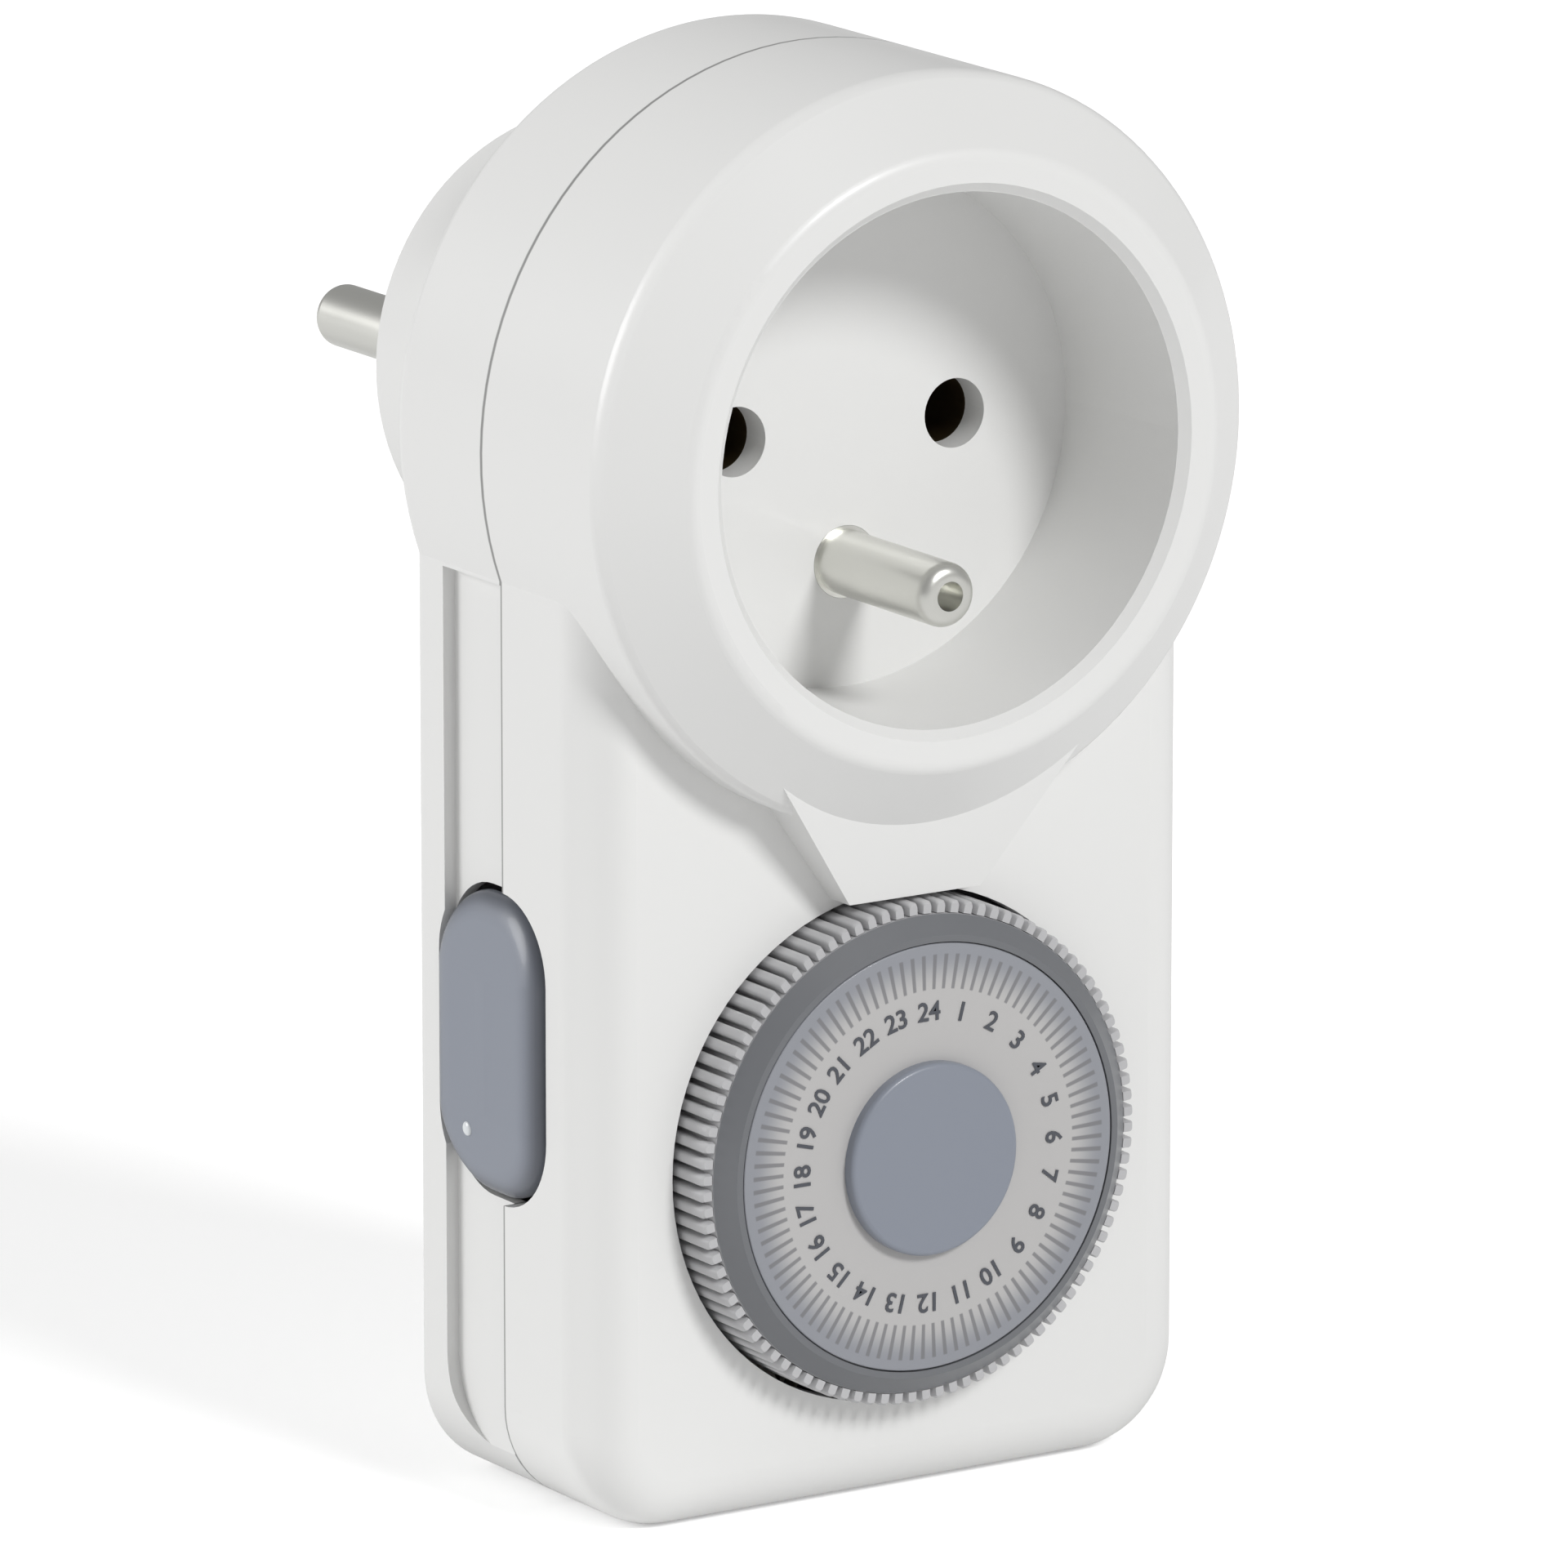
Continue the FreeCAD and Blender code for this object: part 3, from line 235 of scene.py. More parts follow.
class ShaderGraph:
    """A material's node tree with short calls for the nodes used here."""

    def __init__(self, name: str) -> None:
        """Start an empty material.

        Args:
            name: Name of the material.
        """
        self.material = bpy.data.materials.new(name)
        self.material.use_nodes = True
        self.tree = self.material.node_tree
        self.surface = self.tree.nodes["Principled BSDF"]

    def node(self, kind: str, **settings: object) -> bpy.types.Node:
        """Add a node.

        Args:
            kind: Blender's name of the node type.
            **settings: Properties to set on it.

        Returns:
            The node.
        """
        made = self.tree.nodes.new(kind)
        for key, setting in settings.items():
            setattr(made, key, setting)
        return made

    def link(self, source: bpy.types.NodeSocket, target: bpy.types.NodeSocket) -> None:
        """Join two sockets.

        Args:
            source: The output.
            target: The input.
        """
        self.tree.links.new(source, target)

    def feed(self, target: bpy.types.NodeSocket, value: object) -> None:
        """Set a socket to a number, or link another socket to it.

        Args:
            target: The input.
            value: A number, a colour or an output socket.
        """
        if isinstance(value, bpy.types.NodeSocket):
            self.link(value, target)
        else:
            target.default_value = value

    def math(self, operation: str, first: object, second: object = 0.0,
             third: object = 0.0) -> bpy.types.NodeSocket:
        """Add a math node.

        Args:
            operation: Blender's name of the operation.
            first: A number or a socket.
            second: A number or a socket.
            third: A number or a socket.

        Returns:
            The result's socket.
        """
        made = self.node("ShaderNodeMath", operation=operation)
        for socket, value in zip(made.inputs, (first, second, third)):
            self.feed(socket, value)
        return made.outputs["Value"]

    def mix(self, factor: object, first: object, second: object) -> bpy.types.NodeSocket:
        """Mix two colours.

        Args:
            factor: Share of the second colour.
            first: A colour or a socket.
            second: A colour or a socket.

        Returns:
            The mixed colour's socket.
        """
        made = self.node("ShaderNodeMix", data_type="RGBA")
        self.feed(made.inputs["Factor"], factor)
        self.feed(made.inputs["A"], opaque(first))
        self.feed(made.inputs["B"], opaque(second))
        return made.outputs["Result"]

    def place(self) -> tuple[bpy.types.NodeSocket, bpy.types.NodeSocket, bpy.types.NodeSocket]:
        """Give the object coordinates, which are the row frame's.

        Returns:
            The X, Y and Z sockets.
        """
        coordinates = self.node("ShaderNodeTexCoord")
        parts = self.node("ShaderNodeSeparateXYZ")
        self.link(coordinates.outputs["Object"], parts.inputs["Vector"])
        return parts.outputs["X"], parts.outputs["Y"], parts.outputs["Z"]

    def step(self, value: object, edge: float, soft: float) -> bpy.types.NodeSocket:
        """Rise smoothly from 0 to 1 round an edge.

        Args:
            value: The value compared with the edge.
            edge: Where the middle of the rise is.
            soft: Half the width of the rise.

        Returns:
            The mask's socket.
        """
        made = self.node("ShaderNodeMapRange", interpolation_type="SMOOTHSTEP")
        self.feed(made.inputs["Value"], value)
        made.inputs["From Min"].default_value = edge - soft
        made.inputs["From Max"].default_value = edge + soft
        return made.outputs["Result"]

    def polar(self, x: float, z: float) -> tuple[bpy.types.NodeSocket, bpy.types.NodeSocket]:
        """Radius and angle round an axis along Y.

        Args:
            x: The axis's place along X, in metres.
            z: The axis's place along Z, in metres.

        Returns:
            The radius in metres and the angle in turns.
        """
        across, _, up = self.place()
        along_x = self.math("SUBTRACT", across, x)
        along_z = self.math("SUBTRACT", up, z)
        squares = self.math("ADD", self.math("MULTIPLY", along_x, along_x),
                            self.math("MULTIPLY", along_z, along_z))
        angle = self.math("ARCTAN2", along_z, along_x)
        return self.math("SQRT", squares), self.math("DIVIDE", angle, 2 * math.pi)


def opaque(colour: object) -> object:
    """Add full alpha to a plain colour.

    Args:
        colour: Three numbers, or a socket.

    Returns:
        Four numbers, or the socket as it was.
    """
    return (*colour, 1.0) if isinstance(colour, tuple) and len(colour) == 3 else colour


@dataclass(frozen=True)
class Finish:
    """One plain finish.

    Attributes:
        name: Name of the material.
        colour: Base colour, linear.
        roughness: Base roughness.
        metallic: 1 on a metal.
        coat: Weight of the clear coat.
        grain: Cells of the grain per metre.
        grain_height: Depth of the grain, in metres.
        dust: Share of dust in the colour.
        spread: How far the roughness varies.
        bump: Strength of the grain's bump.
    """

    name: str
    colour: Colour
    roughness: float = 0.35
    metallic: float = 0.0
    coat: float = 0.0
    grain: float = 2500.0
    grain_height: float = 0.00001
    dust: float = 0.02
    spread: float = 0.06
    bump: float = 0.25

    def coloured(self, graph: ShaderGraph) -> object:
        """Give the colour before dust. A finish with a pattern changes this.

        Args:
            graph: The material's graph.

        Returns:
            A colour or a socket.
        """
        return self.colour

    def build(self) -> bpy.types.Material:
        """Build the material.

        Returns:
            The material.
        """
        graph = ShaderGraph(self.name)
        surface = graph.surface
        dust = graph.node("ShaderNodeGroup", node_tree=DUST.build())
        graph.feed(dust.inputs["Color"], opaque(self.coloured(graph)))
        dust.inputs["Amount"].default_value = self.dust
        graph.link(dust.outputs["Color"], surface.inputs["Base Color"])
        grain = graph.node("ShaderNodeGroup", node_tree=GRAIN.build())
        grain.inputs["Scale"].default_value = self.grain
        grain.inputs["Roughness"].default_value = self.roughness
        grain.inputs["Spread"].default_value = self.spread
        graph.link(grain.outputs["Roughness"], surface.inputs["Roughness"])
        bump = graph.node("ShaderNodeBump")
        bump.inputs["Strength"].default_value = self.bump
        bump.inputs["Distance"].default_value = self.grain_height
        graph.link(grain.outputs["Height"], bump.inputs["Height"])
        graph.link(bump.outputs["Normal"], surface.inputs["Normal"])
        surface.inputs["Metallic"].default_value = self.metallic
        surface.inputs["Coat Weight"].default_value = self.coat
        return graph.material


@dataclass(frozen=True)
class ShellFinish(Finish):
    """White case plastic with painted shade: a fine dark line along the seam where its two covers meet,
    standing in for the shade in the gap between them.

    Attributes:
        seam: Place of the seam along Y, in metres.
        seam_width: Half the width of the painted shade line along the seam, in metres.
        seam_colour: Colour of the painted shade in the seam.
    """

    seam: float = 0.0
    seam_width: float = 0.00016
    # Colour of the painted shade in the gap between the covers
    seam_colour: Colour = (0.26, 0.26, 0.255)

    def coloured(self, graph: ShaderGraph) -> object:
        """Darken the colour along the seam with painted shade.

        Args:
            graph: The material's graph.

        Returns:
            The colour's socket.
        """
        _, depth, _ = graph.place()
        off = graph.math("ABSOLUTE", graph.math("SUBTRACT", depth, self.seam))
        # Painted shade: the colour goes dark in a thin line along the seam between the covers
        clear = graph.step(off, self.seam_width, self.seam_width / 2)
        return graph.mix(clear, self.seam_colour, self.colour)


@dataclass(frozen=True)
class BevelFinish(Finish):
    """Dial plastic: dark on the front bevel, light on the drum behind it.

    Attributes:
        edge: Place of the bevel's rear edge along Y, in metres.
        drum_colour: Colour behind that edge.
        soft: Half the width of the change, in metres.
    """

    edge: float = 0.0
    drum_colour: Colour = (0.55, 0.55, 0.56)
    soft: float = 0.00005

    def coloured(self, graph: ShaderGraph) -> object:
        """Change from the bevel's colour to the drum's.

        Args:
            graph: The material's graph.

        Returns:
            The colour's socket.
        """
        _, depth, _ = graph.place()
        return graph.mix(graph.step(depth, self.edge, self.soft), self.colour, self.drum_colour)


@dataclass(frozen=True)
class RimFinish(Finish):
    """Rocker plastic with painted shade: darker where the surface's own rim attribute is 1, on the bevel
    round the pad.

    Attributes:
        rim_colour: Colour of the painted shade on the rim.
    """

    rim_colour: Colour = (0.115, 0.125, 0.15)

    def coloured(self, graph: ShaderGraph) -> object:
        """Mix the painted shade's colour in by the attribute.

        Args:
            graph: The material's graph.

        Returns:
            The colour's socket.
        """
        rim = graph.node("ShaderNodeAttribute", attribute_name=RIM_SHADE)
        return graph.mix(rim.outputs["Fac"], self.colour, self.rim_colour)


@dataclass(frozen=True)
class ScaleFinish(Finish):
    """The printed scale: a flat outer ring, fine ticks that fade inwards, and a light field.

    Attributes:
        x: Middle of the dial along X, in metres.
        z: Middle of the dial along Z, in metres.
        outer: Radius where the ticks start.
        inner: Radius where they end.
        ticks: How many there are round the dial.
        ring_colour: Colour of the outer ring.
        tick_colour: Colour of the ticks.
        tick_share: Half a tick's width, as a share of the step between ticks.
        tick_soft: Half the softness of a tick's sides, as such a share.
        end_soft: Half the softness of a tick's ends, in metres.
        ink: How much of the field the ticks cover.
    """

    x: float = 0.0
    z: float = 0.0
    outer: float = 0.0152
    inner: float = 0.0126
    ticks: int = 96
    ring_colour: Colour = (0.28, 0.29, 0.32)
    tick_colour: Colour = (0.17, 0.17, 0.18)
    tick_share: float = 0.17
    tick_soft: float = 0.06
    end_soft: float = 0.00006
    ink: float = 0.8

    def coloured(self, graph: ShaderGraph) -> object:
        """Lay the ring, the fade and the ticks over the light field.

        Args:
            graph: The material's graph.

        Returns:
            The colour's socket.
        """
        radius, turns = graph.polar(self.x, self.z)
        middle = (self.outer + self.inner) / 2
        reach = (self.outer - self.inner) / 2
        field = graph.mix(graph.step(radius, middle, reach), self.colour, self.ring_colour)
        phase = graph.math("FRACT", graph.math("MULTIPLY", turns, float(self.ticks)))
        off = graph.math("ABSOLUTE", graph.math("SUBTRACT", phase, 0.5))
        line = graph.math("SUBTRACT", 1.0, graph.step(off, self.tick_share, self.tick_soft))
        within = graph.math("SUBTRACT", 1.0, graph.step(radius, self.outer, self.end_soft))
        inside = graph.math("MULTIPLY", graph.step(radius, self.inner, self.end_soft), within)
        cover = graph.math("MULTIPLY", graph.math("MULTIPLY", line, inside), self.ink)
        return graph.mix(cover, field, self.tick_colour)


# Surfaces made from formulas


def signed_volume(points: np.ndarray, triangles: np.ndarray) -> float:
    """Volume that triangles enclose, negative if they face inwards.

    Args:
        points: Vertices, one row each.
        triangles: Vertex numbers, three to a row.

    Returns:
        The signed volume.
    """
    first, second, third = (points[triangles[:, column]] for column in range(3))
    return float(np.einsum("ij,ij->i", first, np.cross(second, third)).sum() / 6)


def mesh_object(name: str, points: np.ndarray, faces: list[np.ndarray], smooth: float) -> bpy.types.Object:
    """Make an object whose faces look outwards.

    Args:
        name: Name of the object.
        points: Vertices in the row frame, one row each.
        faces: Arrays of vertex numbers, one row to a face.
        smooth: Edges flatter than this many degrees are shaded smooth.

    Returns:
        The object, linked to the scene.
    """
    fans = [np.column_stack([part[:, 0], part[:, turn], part[:, turn + 1]])
            for part in faces for turn in range(1, part.shape[1] - 1)]
    if signed_volume(points - points.mean(0), np.vstack(fans)) < 0:
        faces = [part[:, ::-1] for part in faces]
    mesh = bpy.data.meshes.new(name)
    mesh.from_pydata(points.tolist(), [], [row for part in faces for row in part.tolist()])
    mesh.update()
    mesh.shade_smooth()
    mesh.set_sharp_from_angle(angle=math.radians(smooth))
    made = bpy.data.objects.new(name, mesh)
    bpy.context.scene.collection.objects.link(made)
    return made


def ring_faces(rings: int, count: int, closed: bool) -> np.ndarray:
    """Quads between rings of vertices.

    Args:
        rings: How many rings there are.
        count: How many vertices each ring has.
        closed: Whether the last ring joins the first.

    Returns:
        Vertex numbers, four to a row.
    """
    row = np.arange(rings if closed else rings - 1)[:, None]
    column = np.arange(count)[None, :]
    after_row, after_column = (row + 1) % rings, (column + 1) % count
    corners = [row * count + column, row * count + after_column, after_row * count + after_column,
               after_row * count + column]
    return np.stack([np.broadcast_to(corner, (row.size, count)).ravel() for corner in corners], axis=1)


@dataclass(frozen=True)
class Lathe:
    """A closed profile turned about an axis along Y.

    Attributes:
        name: Name of the object.
        x: The axis's place along X.
        z: The axis's place along Z.
        segments: Steps round the axis.
    """

    name: str
    x: float
    z: float
    segments: int = 192

    def turn(self, radii: np.ndarray, depths: np.ndarray, smooth: float = 35.0) -> bpy.types.Object:
        """Turn the profile.

        A point at angle a is (x + r cos a, depth, z + r sin a), for each profile point (r, depth).

        Args:
            radii: Radius of each profile point.
            depths: Place along Y of each profile point.
            smooth: Edges flatter than this many degrees are shaded smooth.

        Returns:
            The object.
        """
        angle = np.linspace(0.0, 2 * np.pi, self.segments, endpoint=False)
        across = self.x + radii[:, None] * np.cos(angle)
        up = self.z + radii[:, None] * np.sin(angle)
        along = np.broadcast_to(depths[:, None], across.shape)
        points = np.stack([across, along, up], axis=-1).reshape(-1, 3)
        return mesh_object(self.name, points, [ring_faces(len(radii), self.segments, True)], smooth)


# Sub-assemblies


@dataclass(frozen=True)
class Palette:
    """All finishes of the object, one to a slot of the record.

    Attributes:
        seam: Place of the covers' seam along Y, in metres.
        bevel_edge: Place of the dial bevel's rear edge along Y, in metres.
        dial_x: Middle of the dial along X, in metres.
        dial_z: Middle of the dial along Z, in metres.
    """

    seam: float
    bevel_edge: float
    dial_x: float
    dial_z: float

    def finishes(self) -> dict[Slot, Finish]:
        """List the finish of each slot.

        Returns:
            The finishes by slot.
        """
        return {
            Slot.SHELL: ShellFinish("satin_white", (0.80, 0.80, 0.79), roughness=0.33, coat=0.08,
                                    grain_height=0.000012, seam=self.seam),
            Slot.NICKEL: Finish("nickel_plate", (0.74, 0.74, 0.70), roughness=0.30, metallic=1.0,
                                grain=900.0, dust=0.05),
            # Brass coloured nearly black: painted shade for the deep socket holes that it sits in
            Slot.BRASS: Finish("brass_painted_hole_shade", (0.10, 0.07, 0.035), roughness=0.55, metallic=1.0),
            Slot.INNER: Finish("dark_moulding", (0.05, 0.05, 0.052), roughness=0.5),
            Slot.STEEL: Finish("bare_steel", (0.45, 0.45, 0.45), roughness=0.32, metallic=1.0, grain=1600.0),
            Slot.GEAR: Finish("natural_nylon", (0.72, 0.69, 0.60), roughness=0.42),
            Slot.MAGNET: Finish("sintered_magnet", (0.035, 0.035, 0.037), roughness=0.6, dust=0.04),
            Slot.WIRE: Finish("enamelled_wire", (0.45, 0.16, 0.06), roughness=0.28, metallic=0.8, coat=0.5),
            Slot.DIAL: BevelFinish("dial_plastic", (0.15, 0.156, 0.168), roughness=0.30, coat=0.15,
                                   edge=self.bevel_edge),
            Slot.SCALE: ScaleFinish("printed_scale", (0.49, 0.482, 0.478), roughness=0.36, coat=0.1,
                                    x=self.dial_x, z=self.dial_z),
            Slot.BLUE_GREY: Finish("blue_grey_plastic", (0.24, 0.262, 0.312), roughness=0.34, coat=0.12),
            Slot.TONGUE: Finish("tongue_plastic", (0.50, 0.50, 0.51), roughness=0.38),
        }

    def build(self) -> dict[Slot, bpy.types.Material]:
        """Build every material.

        Returns:
            The materials by slot.
        """
        return {slot: finish.build() for slot, finish in self.finishes().items()}


@dataclass(frozen=True)
class CadPieces:
    """The CAD nodes, each in its slot's finish.

    Attributes:
        materials: The materials by slot.
    """

    frame: dict
    materials: dict[Slot, bpy.types.Material]

    def dress(self) -> int:
        """Put each node's finish on its object.

        Returns:
            How many nodes were dressed.
        """
        slots = {entry["node"]: entry["material_slot"] for entry in self.frame["record"]["subparts"]}
        for name, item in self.frame["nodes"].items():
            material = self.materials[Slot(slots[name])]
            item.data.materials.clear()
            item.data.materials.append(material)
        return len(slots)


@dataclass(frozen=True)
class Piece:
    """A new piece of the scene.

    Attributes:
        body: CAD body that it rides on.
        slot: Material slot that it takes its finish from.
        material: Its material.
        stands_for: CAD nodes that it replaces.
    """

    body: str
    slot: Slot
    material: bpy.types.Material
    stands_for: tuple[str, ...] = ()

    def fit(self, made: bpy.types.Object) -> bpy.types.Object:
        """Give the object its material, its body and what it replaces.

        Args:
            made: The object.

        Returns:
            The same object.
        """
        made.data.materials.append(self.material)
        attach(made, self.body)
        if self.stands_for:
            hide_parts(*self.stands_for)
        return made


@dataclass(frozen=True)
class DialFace:
    """The printed scale ring and its numbers.

    Attributes:
        materials: The materials by slot.
        ink: Material of the numbers.
        x: Middle of the dial along X, in metres.
        z: Middle of the dial along Z, in metres.
        number_radius: How far the numbers' middles lie from the dial's, in metres.
        number_height: Height of the numbers, in metres.
        number_weight: How far their outlines are thickened, in metres.
        number_lift: How far their middle stands off the ring, in metres.
        tuck: How far the ring runs in under the hub, in metres.
        broken_edge: Size of its broken front edges, in metres.
    """

    materials: dict[Slot, bpy.types.Material]
    ink: bpy.types.Material
    x: float
    z: float
    number_radius: float = 0.0109
    number_height: float = 0.0020
    number_weight: float = 0.00003
    number_lift: float = 0.00001
    tuck: float = 0.0003
    broken_edge: float = 0.00012

    def scale(self) -> bpy.types.Object:
        """Make the scale ring with softly broken edges.

        The profile goes round the node's section with each front corner cut by a quarter of an ellipse.

        Returns:
            The ring.
        """
        low, high = box_of("dial_scale")
        outer = (high[0] - low[0]) / 2
        hub_low, hub_high = box_of("dial_hub")
        inner = (hub_high[0] - hub_low[0]) / 2 - self.tuck
        bend = np.linspace(0.0, np.pi / 2, 5)
        off_side = self.broken_edge * (1 - np.sin(bend))
        off_front = self.broken_edge * (1 - np.cos(bend))
        radii = np.concatenate([inner + off_side, outer - off_front[::-1], [outer, inner]])
        depths = np.concatenate([low[1] + off_front, low[1] + off_side[::-1], [high[1], high[1]]])
        made = Lathe("printed_scale_ring", self.x, self.z).turn(radii, depths)
        return Piece("dial", Slot.SCALE, self.materials[Slot.SCALE], ("dial_scale",)).fit(made)

    def numbers(self) -> bpy.types.Object:
        """Make the plain hour numbers, 1 to 24, clockwise with 24 at the top.

        Each number's outline is moved out to the number radius and turned about the dial's axis by its
        share of a turn, so that its head points outwards.

        Returns:
            One object with all numbers.
        """
        front = box_of("dial_scale")[0][1]
        points, faces, start = [], [], 0
        for hour in range(1, HOURS + 1):
            flat, polygons = text_mesh(str(hour), self.number_height, self.number_weight)
            angle = 2 * math.pi * hour / HOURS
            across, out = flat[:, 0], flat[:, 1] + self.number_radius
            points.append(np.stack([self.x + across * math.cos(angle) + out * math.sin(angle),
                                    front + self.number_lift - flat[:, 2],
                                    self.z - across * math.sin(angle) + out * math.cos(angle)], axis=-1))
            faces += [np.array([polygon]) + start for polygon in polygons]
            start += len(flat)
        made = mesh_object("hour_numbers", np.vstack(points), faces, 30.0)
        return Piece("dial", Slot.SCALE, self.ink).fit(made)

    def build(self) -> list[bpy.types.Object]:
        """Build the dial's pieces.

        Returns:
            The pieces.
        """
        return [self.scale(), self.numbers()]


def text_mesh(text: str, height: float, weight: float,
              thickness: float = 0.00002) -> tuple[np.ndarray, list[list[int]]]:
    """Turn a short text into a thin closed mesh round its own middle.

    Args:
        text: What it says.
        height: Height of the letters' body, in metres.
        weight: How far each outline is thickened, in metres.
        thickness: Half the letters' thickness, in metres.

    Returns:
        The vertices and the polygons.
    """
    curve = bpy.data.curves.new("number", "FONT")
    curve.body = text
    curve.size = height
    curve.align_x = "CENTER"
    curve.align_y = "CENTER"
    curve.extrude = thickness
    curve.offset = weight
    curve.resolution_u = 3
    holder = bpy.data.objects.new("number", curve)
    bpy.context.scene.collection.objects.link(holder)
    bpy.context.view_layer.update()
    mesh = bpy.data.meshes.new_from_object(holder.evaluated_get(bpy.context.evaluated_depsgraph_get()))
    flat = np.empty(len(mesh.vertices) * 3)
    mesh.vertices.foreach_get("co", flat)
    polygons = [list(polygon.vertices) for polygon in mesh.polygons]
    bpy.data.objects.remove(holder)
    bpy.data.curves.remove(curve)
    bpy.data.meshes.remove(mesh)
    return flat.reshape(-1, 3), polygons


@dataclass(frozen=True)
class Tongues:
    """The sliding tongues round the drum, with rounded outer corners.

    Attributes:
        material: Their material.
        x: Middle of the dial along X, in metres.
        z: Middle of the dial along Z, in metres.
        count: How many there are in all.
        moving: How many slide.
        first_moving: Place of the first that slides, as a share of a turn.
        width: Width of a tongue, in metres.
        height: How far it stands out of the drum, in metres.
        rounding: Radius of its outer corners, in metres.
        worn: Size of its front end, as a share of its section.
    """

    material: bpy.types.Material
    x: float
    z: float
    count: int = 96
    moving: int = 8
    first_moving: float = 0.55
    width: float = 0.00084
    height: float = 0.0009
    rounding: float = 0.00025
    worn: float = 0.8

    def section(self) -> tuple[np.ndarray, np.ndarray]:
        """Outline of one tongue across the dial: how far out from its foot, and how far to the side.

        Returns:
            The two arrays, one value to a corner.
        """
        bend = np.linspace(0.0, np.pi / 2, 4)
        half = self.width / 2
        rise = self.height - self.rounding * (1 - np.sin(bend))
        side = half - self.rounding * (1 - np.cos(bend))
        out = np.concatenate([[0.0], rise, rise[::-1], [0.0]])
        across = np.concatenate([[half], side, -side[::-1], [-half]])
        return out, across

    def row(self, name: str, numbers: np.ndarray, foot: float, front: float,
            back: float) -> bpy.types.Object:
        """Make a row of tongues.

        A corner is foot plus its height out along the tongue's own angle, and its sideways part square to
        that. The front ring is drawn in a little, as a worn edge.

        Args:
            name: Name of the object.
            numbers: Which tongues, counted from +X towards +Z.
            foot: Radius of the tongues' feet.
            front: Place of the front ends along Y.
            back: Place of the rear ends along Y.

        Returns:
            The object.
        """
        out, across = self.section()
        angle = (numbers + 0.5) * 2 * np.pi / self.count
        depth = np.array([front, front + self.rounding, back])
        shrink = np.array([self.worn, 1.0, 1.0])
        radius = foot + out[None, :] * shrink[:, None]
        side = across[None, :] * shrink[:, None]
        cos, sin = np.cos(angle)[:, None, None], np.sin(angle)[:, None, None]
        points = np.stack([self.x + radius * cos - side * sin,
                           np.broadcast_to(depth[None, :, None], (len(numbers),) + radius.shape),
                           self.z + radius * sin + side * cos], axis=-1)
        rings, corners = len(depth), len(out)
        shift = (np.arange(len(numbers)) * rings * corners)[:, None]
        sides = ring_faces(rings, corners, False)
        cap = np.arange(corners)
        quads = (sides[None] + shift[:, :, None]).reshape(-1, 4)
        fronts = cap[None, ::-1] + shift
        backs = cap[None, :] + (rings - 1) * corners + shift
        return mesh_object(name, points.reshape(-1, 3), [quads, fronts, backs], 40.0)

    def build(self) -> list[bpy.types.Object]:
        """Build the fixed row and the moving sample.

        Returns:
            The two objects.
        """
        low, high = box_of("tappets")
        foot = (high[0] - low[0]) / 2 - self.height
        every = np.arange(self.count)
        first = int(self.count * self.first_moving)
        chosen = (every >= first) & (every < first + self.moving)
        fixed = self.row("quarter_tongues", every[~chosen], foot, low[1], high[1])
        moving = self.row("pushed_tongues", every[chosen], foot, low[1], high[1])
        return [Piece("dial", Slot.TONGUE, self.material, ("tappets",)).fit(fixed),
                Piece("tappet_block", Slot.TONGUE, self.material, ("tappet_block",)).fit(moving)]


